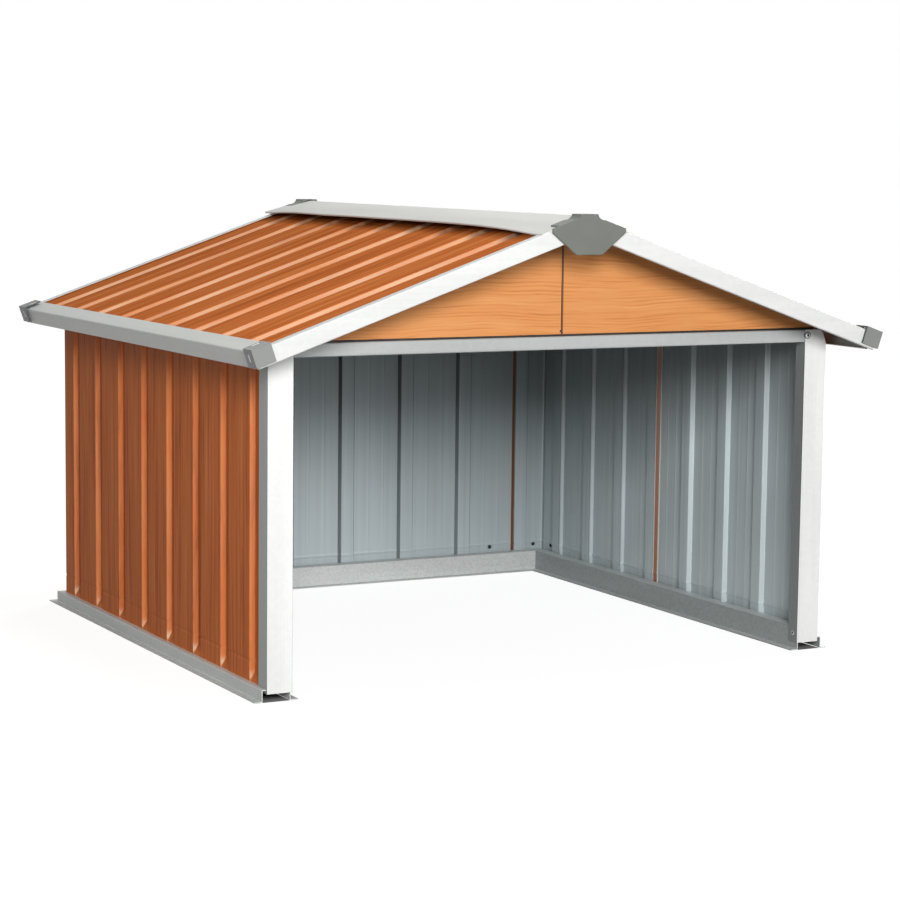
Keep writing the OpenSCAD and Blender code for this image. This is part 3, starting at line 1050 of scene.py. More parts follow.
@dataclass
class RibbedSheet:
    """One roll-formed panel: wood print outside, grey coat inside, cut steel on its edges."""

    name: str
    slot: str
    place: Matrix
    span: tuple[float, float]
    height: float
    ribs: RibRow
    finishes: tuple[Finish, Finish, Finish]
    bend: Bend = field(default_factory=Bend)
    form: RibForm = field(default_factory=RibForm)
    thickness: float = STEEL_T
    foot_height: float = 15.0 * MM
    foot_share: float = 0.12
    foot_steps: int = 10
    body_steps: int = 4
    bead_depth: float = 0.6 * MM
    bead_height: float = 27.5 * MM
    bead_w: float = 7.0 * MM
    bead_steps: int = 10
    turned_over: tuple[tuple[float, float], ...] = ()
    least_step: float = 0.05 * MM
    sharp_angle: float = math.radians(35)

    def stops(self) -> list[float]:
        """Distances along the blank at which it has columns of points.

        Returns:
            The distances, in order.
        """
        form = self.form
        found = [*self.span, *(edge for band in self.turned_over for edge in band)]
        for middle in [*self.ribs.middles(), self.bend.rib]:
            for step in range(form.flank_steps + 1):
                off = form.flat / 2 + form.flank * step / form.flank_steps
                found += [middle - off, middle + off]
        crest = self.ribs.spacing - 2 * form.reach
        for middle in self.ribs.middles()[:-1]:
            for share in form.crease_shares:
                for step in range(form.crease_steps + 1):
                    off = form.crease_w * (step / form.crease_steps - 0.5)
                    found.append(middle + form.reach + share * crest + off)
        bend = self.bend
        found += [bend.start + bend.arc * step / bend.steps for step in range(bend.steps + 1)]
        low, high = self.span
        inside = sorted(stop for stop in found if low <= stop <= high)
        return [a for a, b in zip(inside, [*inside[1:], FAR_AWAY]) if b - a > self.least_step]

    def blank(self) -> bpy.types.Mesh:
        """The flat blank, facing away from the inside.

        Returns:
            A mesh of quads.
        """
        rows = [self.foot_height * step / self.foot_steps for step in range(self.foot_steps)]
        bead_low = self.bead_height - self.bead_w / 2
        rows += [bead_low + self.bead_w * step / self.bead_steps for step in range(self.bead_steps)]
        body = bead_low + self.bead_w
        rows += [body + (self.height - body) * step / self.body_steps for step in range(self.body_steps + 1)]
        columns = self.stops()
        points = [(along, 0.0, up) for up in rows for along in columns]
        wide = len(columns)
        faces = [
            (a, a + 1, a + 1 + wide, a + wide)
            for row in range(len(rows) - 1)
            for a in range(row * wide, row * wide + wide - 1)
        ]
        mesh = bpy.data.meshes.new(self.name)
        mesh.from_pydata(points, [], faces)
        middles = [(a + b) / 2 for a, b in zip(columns, columns[1:])]
        printed = [any(low < middle < high for low, high in self.turned_over) for middle in middles]
        band = mesh.attributes.new(PRINT_BAND, "BOOLEAN", "FACE")
        for i in range(len(faces)):
            band.data[i].value = printed[i % len(middles)]
        return mesh

    def turn_print_over(self, mesh: bpy.types.Mesh) -> None:
        """Shows the print on the inside too, where the sheet's edge is folded back.

        Args:
            mesh: The formed panel, with its bands marked.
        """
        printed = [i for i, mark in enumerate(mesh.attributes[PRINT_BAND].data) if mark.value]
        for face in (mesh.polygons[i] for i in printed):
            if face.material_index == SheetFace.INSIDE:
                face.material_index = SheetFace.HEM
        mesh.attributes.remove(mesh.attributes[PRINT_BAND])

    def build(self, former: RollFormer, node: str) -> None:
        """Forms the panel and puts it in the garage.

        Args:
            former: The shared forming tree.
            node: The node that the panel stands for.
        """
        form = self.form
        blank = loose_object(self.name + "_blank", self.blank())
        for finish in (*self.finishes, HEM_PRINT):
            blank.data.materials.append(finish.material())
        sizes = {
            "Rib Depth": form.depth, "Rib Flat": form.flat, "Rib Flank": form.flank,
            "First Rib": self.ribs.first, "Rib Spacing": self.ribs.spacing, "Rib Count": self.ribs.count,
            "Corner Rib": self.bend.rib, "Crease Depth": form.crease_depth, "Crease Width": form.crease_w,
            "Crease A": form.crease_shares[0], "Crease B": form.crease_shares[1],
            "Foot Height": self.foot_height, "Foot Share": self.foot_share,
            "Bead Depth": self.bead_depth, "Bead Height": self.bead_height, "Bead Width": self.bead_w,
            "Bend Start": self.bend.start, "Bend Radius": self.bend.radius,
        }
        former.shape.attach(blank, sizes, self.finishes[SheetFace.OUTSIDE])
        blank.data.shade_smooth()
        wall = blank.modifiers.new("thickness", "SOLIDIFY")
        wall.thickness = self.thickness
        wall.offset = -1.0
        wall.use_even_offset = True
        wall.material_offset = SheetFace.INSIDE
        wall.material_offset_rim = SheetFace.EDGE
        rough = settle(blank, self.name + "_rough", self.place)
        self.turn_print_over(rough.data)
        rough.data.set_sharp_from_angle(angle=self.sharp_angle)
        weigh_normals(rough)
        keep(settle(rough, self.name), self.slot, [node])


def basis(along: Vector, across: Vector, up: Vector, origin: Vector) -> Matrix:
    """Place of a sheet: the ways along it, across to the inside and up, and its first lower corner."""
    turn = Matrix((along, across, up)).transposed().to_4x4()
    return Matrix.Translation(origin) @ turn


@dataclass
class Walls:
    """The eight-ribbed side and back walls, with corner panels bent round the rear corners."""

    ribs: int = 8
    front_panel_ribs: int = 5
    back_right_first: int = 3
    front_rib_inset: float = 48.5 * MM
    rear_rib_inset: float = 59.5 * MM
    back_rib_inset: float = 50.8 * MM
    seam_edge: float = 2.0 * MM
    hem_from: float = 0.5 * MM
    hem_to: float = 3.1 * MM
    sheet: float = STEEL_T
    back_crease_depth: float = 0.3 * MM

    def __post_init__(self) -> None:
        """Reads the wall planes from the frame."""
        low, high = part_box("left_front_wall_panel")
        self.wall_x = -low.x
        self.foot = low.z
        self.height = high.z - low.z
        self.front_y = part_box("front_left_post")[0].y
        self.back_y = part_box("back_wall_left_panel")[1].y
        self.form = RibForm()
        self.finishes = (WALL_PRINT, BACK_COAT, CUT_EDGE)
        self.side_finishes = (WALL_PRINT, SIDE_COAT, CUT_EDGE)
        self.side_row = RibRow.between(
            self.front_y + self.front_rib_inset, self.back_y - self.rear_rib_inset, self.ribs
        )
        back = self.wall_x - self.back_rib_inset
        self.back_row = RibRow.between(-back, back, self.ribs)

    def side_place(self, side: int, start: float, layer: int) -> Matrix:
        """Place of a side wall's sheet, from its front edge and how many sheets lie outside it."""
        origin = Vector((side * (self.wall_x - layer * self.sheet), start, self.foot))
        return basis(Vector((0, 1, 0)), Vector((-side, 0, 0)), Vector((0, 0, 1)), origin)

    def front_panel(self, former: RollFormer, side: int, word: str) -> None:
        """Builds a side wall's front panel.

        Args:
            former: The shared forming tree.
            side: -1 on the left, 1 on the right.
            word: left or right.
        """
        node = f"{word}_front_wall_panel"
        low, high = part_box(node)
        RibbedSheet(
            f"{word}_front_ribbed_sheet", "wood_print_wall", self.side_place(side, low.y, 0),
            (0.0, high.y - low.y), self.height, self.side_row.part(0, self.front_panel_ribs, low.y),
            self.side_finishes,
        ).build(former, node)

    def corner_panel(self, former: RollFormer, side: int, word: str, back_layer: int) -> None:
        """Builds a side wall's rear panel, bent round the corner, with its two free edges folded back.

        Args:
            former: The shared forming tree.
            side: -1 on the left, 1 on the right.
            word: left or right.
            back_layer: How many sheets lie outside it on the back wall.
        """
        node = f"{word}_corner_panel"
        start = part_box(node)[0].y
        bend_r = Bend().radius
        turn = self.back_y - back_layer * self.sheet - bend_r - start
        bend = Bend(turn, bend_r, turn + Bend().arc + self.back_rib_inset - self.sheet - bend_r)
        end = bend.rib + self.form.reach + self.seam_edge
        first = self.front_panel_ribs - 1
        ribs = self.side_row.part(first, self.ribs - first, start)
        fold = (self.seam_edge + self.hem_from, self.seam_edge + self.hem_to)
        RibbedSheet(
            f"{word}_corner_ribbed_sheet", "wood_print_wall", self.side_place(side, start, 1), (0.0, end),
            self.height, ribs, self.finishes, bend, turned_over=(fold, (end - fold[1], end - fold[0])),
        ).build(former, node)

    def back_panel(self, former: RollFormer, word: str, first: int, layer: int) -> None:
        """Builds a panel of the back wall.

        Args:
            former: The shared forming tree.
            word: left or right.
            first: Number of its first rib.
            layer: How many sheets lie outside it at the seam.
        """
        node = f"back_wall_{word}_panel"
        low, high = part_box(node)
        origin = Vector((low.x, self.back_y - layer * self.sheet, self.foot))
        RibbedSheet(
            f"back_{word}_ribbed_sheet", "wood_print_wall",
            basis(Vector((1, 0, 0)), Vector((0, -1, 0)), Vector((0, 0, 1)), origin),
            (0.0, high.x - low.x), self.height, self.back_row.part(first, self.front_panel_ribs, low.x),
            self.finishes, form=RibForm(crease_depth=self.back_crease_depth),
        ).build(former, node)

    def build(self, former: RollFormer) -> None:
        """Builds all the wall panels.

        Args:
            former: The shared forming tree.
        """
        for back_layer, (word, side) in enumerate(SIDES.items(), 1):
            self.front_panel(former, side, word)
            self.corner_panel(former, side, word, back_layer)
        self.back_panel(former, "left", 0, 0)
        self.back_panel(former, "right", self.back_right_first, 1)


@dataclass
class Roof:
    """Two slopes of two ribbed panels each."""

    angle: float = ROOF_ANGLE
    ribs: int = 9
    panel_ribs: int = 5
    rib_inset: float = 72.0 * MM
    trim: float = STEEL_T
    sheet: float = STEEL_T
    cap_rise: float = 6.0 * MM
    seat_gap: float = 0.2 * MM
    ridge_gap: float = 12.0 * MM

    def __post_init__(self) -> None:
        """Reads the roof planes from the frame."""
        sine, cosine = math.sin(self.angle), math.cos(self.angle)
        self.apex_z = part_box("ridge_cap")[1].z - 2 * self.trim / cosine
        self.eave_run = (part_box("right_eave_trim")[1].x - self.trim * sine) / cosine
        self.cap_run = (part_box("front_right_corner_cap")[1].x - self.cap_rise * sine) / cosine
        verge_y = -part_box("front_left_verge")[0].y
        self.row = RibRow.between(self.rib_inset - verge_y, verge_y - self.rib_inset, self.ribs)

    def ways(self, side: int) -> tuple[Vector, Vector]:
        """Directions up a slope and out of it, on the left (-1) or the right (1)."""
        sine, cosine = math.sin(self.angle), math.cos(self.angle)
        return Vector((-side * cosine, 0, sine)), Vector((side * sine, 0, cosine))

    def panel(self, former: RollFormer, word: str, end: str, layer: int) -> None:
        """Builds one panel of a slope.

        Args:
            former: The shared forming tree.
            word: left or right.
            end: front or rear.
            layer: How many sheets lie over it at the seam.
        """
        node = f"{word}_roof_{end}_panel"
        low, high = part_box(node)
        uphill, out = self.ways(SIDES[word])
        foot = self.eave_run - self.trim - self.seat_gap
        origin = Vector((0, low.y, self.apex_z)) - uphill * foot - out * (layer * self.sheet)
        first = 0 if end == "front" else self.ribs - self.panel_ribs
        RibbedSheet(
            f"{word}_roof_{end}_ribbed_sheet", "wood_print_roof",
            basis(Vector((0, 1, 0)), -out, uphill, origin), (0.0, high.y - low.y), foot - self.ridge_gap,
            self.row.part(first, self.panel_ribs, low.y), (ROOF_PRINT, ROOF_SHADED_COAT, CUT_EDGE), foot_share=1.0,
            bead_depth=0.0,
        ).build(former, node)

    def build(self, former: RollFormer) -> None:
        """Builds the four roof panels.

        Args:
            former: The shared forming tree.
        """
        for word in SIDES:
            for layer, end in enumerate(ENDS):
                self.panel(former, word, end, layer)


@dataclass(frozen=True)
class SoftEdges:
    """Rounded folds and rims, as folded strip and moulded caps have them."""

    fold: float
    inner_share: float
    rim_share: float
    segments: int = 3
    thin: float = 2.6 * MM
    seam: float = 0.01 * MM
    flat_angle: float = math.radians(0.6)
    fold_angle: float = math.radians(20)

    def weigh(self, mesh: bpy.types.Mesh) -> None:
        """Merges a node's triangles into faces and weighs its edges for rounding.

        Args:
            mesh: The copied mesh.
        """
        work = bmesh.new()
        work.from_mesh(mesh)
        bmesh.ops.remove_doubles(work, verts=work.verts, dist=self.seam)
        bmesh.ops.dissolve_limit(
            work, angle_limit=self.flat_angle, verts=work.verts, edges=work.edges, delimit=set()
        )
        weight = work.edges.layers.float.new("bevel_weight_edge")
        for edge in work.edges:
            if len(edge.link_faces) != 2 or edge.calc_face_angle(0.0) < self.fold_angle:
                continue
            widths = [
                2 * face.calc_area() / sum(side.calc_length() for side in face.edges)
                for face in edge.link_faces
            ]
            if min(widths) < self.thin:
                edge[weight] = self.rim_share
            else:
                edge[weight] = 1.0 if edge.is_convex else self.inner_share
        work.to_mesh(mesh)
        work.free()

    def round_off(self, piece: bpy.types.Object) -> None:
        """Rounds an object's weighed edges.

        Args:
            piece: The object.
        """
        rounding = piece.modifiers.new("rounding", "BEVEL")
        rounding.width = self.fold
        rounding.segments = self.segments
        rounding.limit_method = "WEIGHT"
        rounding.use_clamp_overlap = True
        weigh_normals(piece)


FOLDED = SoftEdges(2.0 * MM, inner_share=0.3, rim_share=0.15)
PRESSED_RIM = SoftEdges(1.2 * MM, inner_share=0.4, rim_share=0.25)
MOULDED = SoftEdges(1.8 * MM, inner_share=0.5, rim_share=0.6, thin=1.0 * MM)


@dataclass(frozen=True)
class Strip:
    """Folded or moulded nodes of one kind, named by end and side, and how they are dressed."""

    nodes: str
    slot: str
    finish: Finish
    edges: SoftEdges = FOLDED
    # Darker copies of the finish for faces that turn inwards and outwards: painted shade.
    shaded_inward: Optional[Finish] = None
    shaded_outward: Optional[Finish] = None
    facing: float = 0.5

    def paint(self, mesh: bpy.types.Mesh) -> None:
        """Gives a mesh its finish, and its faces inwards and to the sides the darker copies that paint their
        shade, where they are given.

        Args:
            mesh: The mesh.
        """
        mesh.materials.clear()
        mesh.materials.append(self.finish.material())
        side = math.copysign(1.0, sum(vertex.co.x for vertex in mesh.vertices))
        for way, special in ((-side, self.shaded_inward), (side, self.shaded_outward)):
            if special is None:
                continue
            mesh.materials.append(special.material())
            for face in mesh.polygons:
                if face.normal.x * way > self.facing:
                    face.material_index = len(mesh.materials) - 1

    def build(self) -> None:
        """Makes the rounded piece that stands for each node."""
        names = (self.nodes.format(end=end, side=side) for end in ENDS for side in SIDES)
        for node in dict.fromkeys(names):
            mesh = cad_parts[node].data.copy()
            self.edges.weigh(mesh)
            self.paint(mesh)
            mesh.shade_smooth()
            rough = loose_object(node + "_rough", mesh)
            self.edges.round_off(rough)
            keep(settle(rough, node + "_dressed"), self.slot, [node])


METALWORK = (
    Strip("{side}_base_rail", "zinc_frame", FRAME_ZINC_Y, shaded_inward=RAIL_INNER_SHADED_ZINC),
    Strip("rear_base_rail", "zinc_frame", REAR_RAIL_ZINC),
    Strip("front_{side}_post", "zinc_post", POST_ZINC, FOLDED, POST_RETURN_SHADED_ZINC, POST_SIDE_SHADED_ZINC),
    Strip("{end}_header", "zinc_frame", HEADER_SHADED_ZINC),
    Strip("{side}_top_rail", "zinc_frame", FRAME_ZINC_Y),
    Strip("{end}_gable_{side}", "wood_print_gable", GABLE_PRINT, PRESSED_RIM),
    Strip("{side}_eave_trim", "zinc_trim", TRIM_ZINC_Y),
    Strip("{end}_{side}_verge", "zinc_trim", TRIM_ZINC_X),
    Strip("{end}_apex_cap", "grey_cap", APEX_GREY, MOULDED),
    Strip(
        "front_{side}_corner_cap", "grey_cap", CORNER_GREY, MOULDED, CORNER_DEEP_SHADED_GREY, CORNER_SHADED_GREY
    ),
    Strip("rear_{side}_corner_cap", "grey_cap", CORNER_SHADED_GREY, MOULDED, shaded_outward=CORNER_DEEP_SHADED_GREY),
)


@dataclass
class RidgeCap:
    """Folded strip over the ridge, held at its ends, whose wings spring clear of the roof between them."""

    angle: float = ROOF_ANGLE
    wing: float = 74.0 * MM
    sheet: float = STEEL_T
    crown: float = 3.0 * MM
    hem: float = 8.0 * MM
    hem_t: float = 1.6 * MM
    lip_steps: int = 6
    bow: float = 8.5 * MM
    bow_order: float = 4.0
    held: float = 26.0 * MM
    tip_lift: float = 5.5 * MM
    tip_length: float = 260.0 * MM
    tip_inner: float = 47.0 * MM
    rows: int = 60
    sharp_angle: float = math.radians(30)

    NUMBERS = ("Bow", "Half Length", "Reach", "Tip Lift", "Tip Start", "Tip End", "Tip Inner")

    def section(self) -> list[tuple[float, float]]:
        """Outline of the strip across the ridge, from its left wing's edge over the top and back underneath.

        Returns:
            Places across the ridge and heights over the upper fold line.
        """
        sine, cosine = math.sin(self.angle), math.cos(self.angle)

        def wing(run: float, under: float) -> tuple[float, float]:
            """A point on the right wing, so far down the slope and under its face."""
            return run * cosine - under * sine, -run * sine - under * cosine

        def mirrored(points: list[tuple[float, float]]) -> list[tuple[float, float]]:
            """The same points on the left wing, in the opposite order."""
            return [(-x, z) for x, z in reversed(points)]

        lip = self.hem_t / 2
        drop = lip + self.sheet / 2
        fold = self.wing - self.hem
        turns = [math.pi * step / self.lip_steps for step in range(self.lip_steps + 1)]
        edge = [
            wing(self.wing - lip + lip * math.sin(turn), drop - drop * math.cos(turn)) for turn in turns
        ]
        upper = [wing(self.crown, 0.0), *edge, wing(fold, self.sheet + self.hem_t)]
        lower = [wing(fold, self.sheet), wing(self.crown, self.sheet)]
        crest = -self.crown * sine / 2
        above = [*mirrored(upper), (0.0, crest), *upper]
        return [*above, *lower, (0.0, crest - self.sheet), *mirrored(lower)]

    def spring(self) -> ShapeTree:
        """Geometry Nodes that lift the wings between the held ends.

        Returns:
            The tree.
        """
        shape = ShapeTree("ridge_spring", self.NUMBERS)
        graph, given = shape.graph, shape.given
        x, y, _ = graph.split(graph.node("GeometryNodeInputPosition"))
        along = y.math("ABSOLUTE") / given("Half Length")
        out = x.math("ABSOLUTE")
        bowed = (1 - along ** self.bow_order).most(0.0) * (out / given("Reach")) * given("Bow")
        tip = y.smooth(given("Tip Start"), given("Tip End"))
        tip = tip * out.smooth(given("Tip Inner"), given("Reach")) * given("Tip Lift")
        lift = graph.vector(0.0, 0.0, bowed + tip)
        strip = {"Geometry": given("Geometry"), "Offset": lift}
        shape.close(graph.node("GeometryNodeSetPosition", {}, strip))
        return shape

    def build(self) -> None:
        """Makes the sprung strip that stands for the ridge cap."""
        low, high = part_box("ridge_cap")
        places = [low.y + (high.y - low.y) * row / self.rows for row in range(self.rows + 1)]
        rings = [[(x, y, high.z + z) for x, z in self.section()] for y in places]
        strip = loose_object("ridge_strip", closed_tube("ridge_strip", rings))
        sizes = {
            "Bow": self.bow, "Half Length": high.y - self.held, "Reach": high.x, "Tip Lift": self.tip_lift,
            "Tip Start": high.y - self.tip_length, "Tip End": high.y, "Tip Inner": self.tip_inner,
        }
        self.spring().attach(strip, sizes, RIDGE_ZINC)
        piece = settle(strip, "ridge_cap_sprung")
        piece.data.shade_smooth()
        piece.data.set_sharp_from_angle(angle=self.sharp_angle)
        keep(piece, "zinc_trim", ["ridge_cap"])


@dataclass(frozen=True)
class Fastener:
    """One turned part of a screw or bolt.

    Its outline runs from the middle of its head outwards and down: radii and heights in millimetres. Stretch
    draws it out to a slot shape.
    """

    name: str
    slot: str
    finish: Finish
    outline: tuple[tuple[float, float], ...]
    stretch: float = 0.0
    sides: int = 26

    def turned(self) -> bpy.types.Mesh:
        """The part, standing on the plane z = 0.

        Returns:
            Its mesh.
        """
        turns = [math.tau * i / self.sides for i in range(self.sides)]
        ways = [(math.cos(turn), math.sin(turn)) for turn in turns]
        half = self.stretch / 2
        rings = [
            [
                Vector((radius * x + math.copysign(half, x), radius * y, height)) * MM
                for x, y in ways
            ]
            for radius, height in self.outline
        ]
        return closed_tube(self.name, rings)


@dataclass(frozen=True)
class Spot:
    """Where one fastener sits, the way that it faces and the way that its slot runs."""

    place: Point
    facing: Point
    along: Point = (0.0, 0.0, 1.0)


@dataclass
class Hardware:
    """The few screws, bolts and clips that show."""

    walls: Walls
    roof: Roof
    bolt_x: float = 401.6 * MM
    bolt_z: float = 455.9 * MM
    pin_inset: float = 11.0 * MM
    pin_z: float = 24.0 * MM
    seam_screw_rise: float = 7.0 * MM
    screw_z: float = 40.0 * MM
    back_screw_xs: tuple[float, ...] = (326.0 * MM, 411.0 * MM)
    back_layers: int = 3
    side_screw_y: float = 374.0 * MM
    side_layers: int = 2
    top_clip_run: float = 16.0 * MM
    top_clip_y: float = 438.0 * MM
    end_clip_y: float = 444.5 * MM
    end_clip_drop: float = 6.5 * MM
    sharp_angle: float = math.radians(40)

    WASHER = Fastener(
        "bolt_washer", "zinc_post", BLACK_STEEL,
        ((3.9, 0.9), (4.8, 0.9), (5.0, 0.8), (5.2, 0.55), (5.2, -0.4), (3.9, -0.4)),
    )
    HEAD = Fastener(
        "bolt_head", "zinc_post", BRIGHT_STEEL,
        ((1.8, 0.7), (1.9, 1.9), (2.2, 2.0), (3.2, 1.8), (4.0, 1.3), (4.3, 0.9), (4.3, -0.4), (1.8, -0.4)),
    )
    SCREW = Fastener(
        "wall_screw", "zinc_frame", BLACK_STEEL,
        (
            (0.5, 0.9), (0.6, 2.0), (1.0, 2.05), (1.8, 1.7), (2.4, 1.0),
            (2.6, 0.5), (3.2, 0.4), (3.3, -0.3), (0.5, -0.3),
        ),
    )
    COLLAR = Fastener(
        "return_collar", "zinc_post", BRIGHT_STEEL,
        ((1.4, 0.6), (3.0, 0.6), (3.3, 0.4), (3.4, -0.3), (1.4, -0.3)),
    )
    PIN = Fastener(
        "return_pin", "zinc_post", BLACK_STEEL,
        ((0.4, 1.2), (1.3, 1.1), (1.8, 0.7), (1.9, -0.3), (0.4, -0.3)),
    )
    CLIP = Fastener(
        "cap_clip", "grey_cap", CLIP_WHITE,
        ((0.4, 0.0), (1.4, 0.0), (1.8, -0.3), (2.0, -0.8), (2.0, -2.0), (0.4, -2.0)),
        stretch=8.4,
    )

    def __post_init__(self) -> None:
        """Builds the tree that sets a part at each point, facing its own way."""
        self.shape = ShapeTree("set_fasteners", (), ("Part",))
        graph, given = self.shape.graph, self.shape.given
        turn: Union[Socket, tuple] = (0.0, 0.0, 0.0)
        for label, axis, pivot in (("facing", "Z", "AUTO"), ("along", "X", "Z")):
            kind = {"data_type": "FLOAT_VECTOR"}
            way = graph.node("GeometryNodeInputNamedAttribute", kind, {"Name": label})
            turn = graph.node(
                "FunctionNodeAlignRotationToVector", {"axis": axis, "pivot_axis": pivot},
                {"Rotation": turn, "Vector": way},
            )
        part = graph.node("GeometryNodeObjectInfo", {}, {"Object": given("Part")}, "Geometry")
        points = graph.node("GeometryNodeMeshToPoints", {}, {"Mesh": given("Geometry")})
        self.shape.close(graph.node(
            "GeometryNodeInstanceOnPoints", {}, {"Points": points, "Instance": part, "Rotation": turn}
        ))

    def set_row(self, name: str, part: Fastener, spots: list[Spot]) -> None:
        """Sets one part at several places.

        Args:
            name: The piece's name.
            part: The turned part.
            spots: Where the parts sit.
        """
        mesh = bpy.data.meshes.new(name)
        mesh.from_pydata([spot.place for spot in spots], [], [])
        for label in ("facing", "along"):
            ways = mesh.attributes.new(label, "FLOAT_VECTOR", "POINT")
            for i, spot in enumerate(spots):
                ways.data[i].vector = getattr(spot, label)
        holder = loose_object(name + "_spots", mesh)
        model = loose_object(part.name, part.turned())
        self.shape.attach(holder, {"Part": model}, part.finish)
        piece = settle(holder, name)
        bpy.data.objects.remove(model)
        piece.data.shade_smooth()
        piece.data.set_sharp_from_angle(angle=self.sharp_angle)
        keep(piece, part.slot)

    def wall_spots(self) -> list[Spot]:
        """Screws through the feet of the walls near the rear corners.

        Returns:
            Their places, the same on both sides.
        """
        walls = self.walls
        back_y = walls.back_y - self.back_layers * walls.sheet
        wall_x = walls.wall_x - self.side_layers * walls.sheet
        spots = []
        for side in SIDES.values():
            spots += [Spot((side * x, back_y, self.screw_z), (0, -1, 0)) for x in self.back_screw_xs]
            spots.append(Spot((side * wall_x, self.side_screw_y, self.screw_z), (-side, 0, 0)))
        return spots

    def clip_spots(self) -> list[Spot]:
        """Clips in the slots of the corner caps.

        Returns:
            Two places for each cap.
        """
        roof = self.roof
        spots = []
        for side in SIDES.values():
            uphill, out = roof.ways(side)
            for end in ENDS.values():
                for run, y, rise, facing, along in (
                    (roof.cap_run - self.top_clip_run, self.top_clip_y, roof.cap_rise, out, -uphill),
                    (roof.cap_run, self.end_clip_y, -self.end_clip_drop, -uphill, out),
                ):
                    ridge = Vector((0, end * y, roof.apex_z))
                    spots.append(Spot(ridge - uphill * run + out * rise, facing, along))
        return spots

    def build(self) -> None:
        """Sets every fastener, the same on both sides."""
        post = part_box("front_right_post")[0]
        gable_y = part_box("front_gable_left")[0].y
        seam_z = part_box("front_header")[1].z + self.seam_screw_rise
        tops = [Spot((side * self.bolt_x, post.y, self.bolt_z), (0, -1, 0)) for side in SIDES.values()]
        feet = [
            Spot((side * post.x, post.y + self.pin_inset, self.pin_z), (-side, 0, 0))
            for side in SIDES.values()
        ]
        self.set_row("post_bolt_washers", self.WASHER, tops)
        self.set_row("post_bolt_heads", self.HEAD, tops)
        self.set_row("post_bolt_sockets", self.PIN, tops)
        self.set_row("post_foot_collars", self.COLLAR, feet)
        self.set_row("post_foot_pins", self.PIN, feet)
        self.set_row("wall_foot_screws", self.SCREW, self.wall_spots())
        self.set_row("gable_seam_screw", self.PIN, [Spot((0.0, gable_y, seam_z), (0, -1, 0))])
        self.set_row("corner_cap_clips", self.CLIP, self.clip_spots())


@dataclass
class ShadowBeads:
    """Dark beads that paint the shadow lines in the gables' middle seams and along their feet."""

    seam_r: float = 1.4 * MM
    foot_r: float = 1.3 * MM
    seam_top: float = 600.0 * MM
    foot_inset: float = 6.0 * MM
    around: int = 12

    def __post_init__(self) -> None:
        """Builds the tree that draws a round bead along a path."""
        self.shape = ShapeTree("shadow_bead", ("Radius",))
        graph, given = self.shape.graph, self.shape.given
        path = graph.node("GeometryNodeMeshToCurve", {}, {"Mesh": given("Geometry")})
        round_of = {"Resolution": self.around, "Radius": given("Radius")}
        ring = graph.node("GeometryNodeCurvePrimitiveCircle", {}, round_of)
        self.shape.close(graph.node(
            "GeometryNodeCurveToMesh", {}, {"Curve": path, "Profile Curve": ring, "Fill Caps": True}
        ))

    def lay(self, name: str, radius: float, finish: Finish, points: list[Point]) -> None:
        """Lays one bead.

        Args:
            name: The piece's name.
            radius: The bead's radius.
            finish: Its finish.
            points: Its two ends.
        """
        mesh = bpy.data.meshes.new(name)
        mesh.from_pydata(points, [(0, 1)], [])
        path = loose_object(name + "_path", mesh)
        self.shape.attach(path, {"Radius": radius}, finish)
        piece = settle(path, name)
        piece.data.shade_smooth()
        keep(piece, "wood_print_gable")

    def build(self) -> None:
        """Lays the beads at the front and at the rear."""
        for end, outer, corner in (("front", "left", 0), ("rear", "right", 1)):
            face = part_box(f"{end}_gable_{outer}")[corner]
            foot_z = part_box(f"{end}_header")[1].z + self.foot_r
            seam_x = -ENDS[end] * self.seam_r
            half = abs(face.x) - self.foot_inset
            seam = [(seam_x, face.y, z) for z in (foot_z, self.seam_top)]
            foot = [(x, face.y, foot_z) for x in (-half, half)]
            self.lay(f"{end}_gable_seam_bead", self.seam_r, SEAM_SHADOW_BROWN, seam)
            self.lay(f"{end}_gable_foot_bead", self.foot_r, SHADOW_GAP_BLACK, foot)


@dataclass(frozen=True)
class Lamp:
    """One soft square lamp: where it hangs, its side and its power in watts."""

    name: str
    spot: Point
    size: float
    power: float

    def hang(self, aim: Vector) -> None:
        """Hangs the lamp so that it faces a point.

        Args:
            aim: The point.
        """
        data = bpy.data.lights.new(self.name, "AREA")
        data.shape = "SQUARE"
        data.size = self.size
        data.energy = self.power
        spot = Vector(self.spot)
        turn = (aim - spot).to_track_quat("-Z", "Y").to_matrix().to_4x4()
        loose_object(self.name, data).matrix_world = Matrix.Translation(spot) @ turn


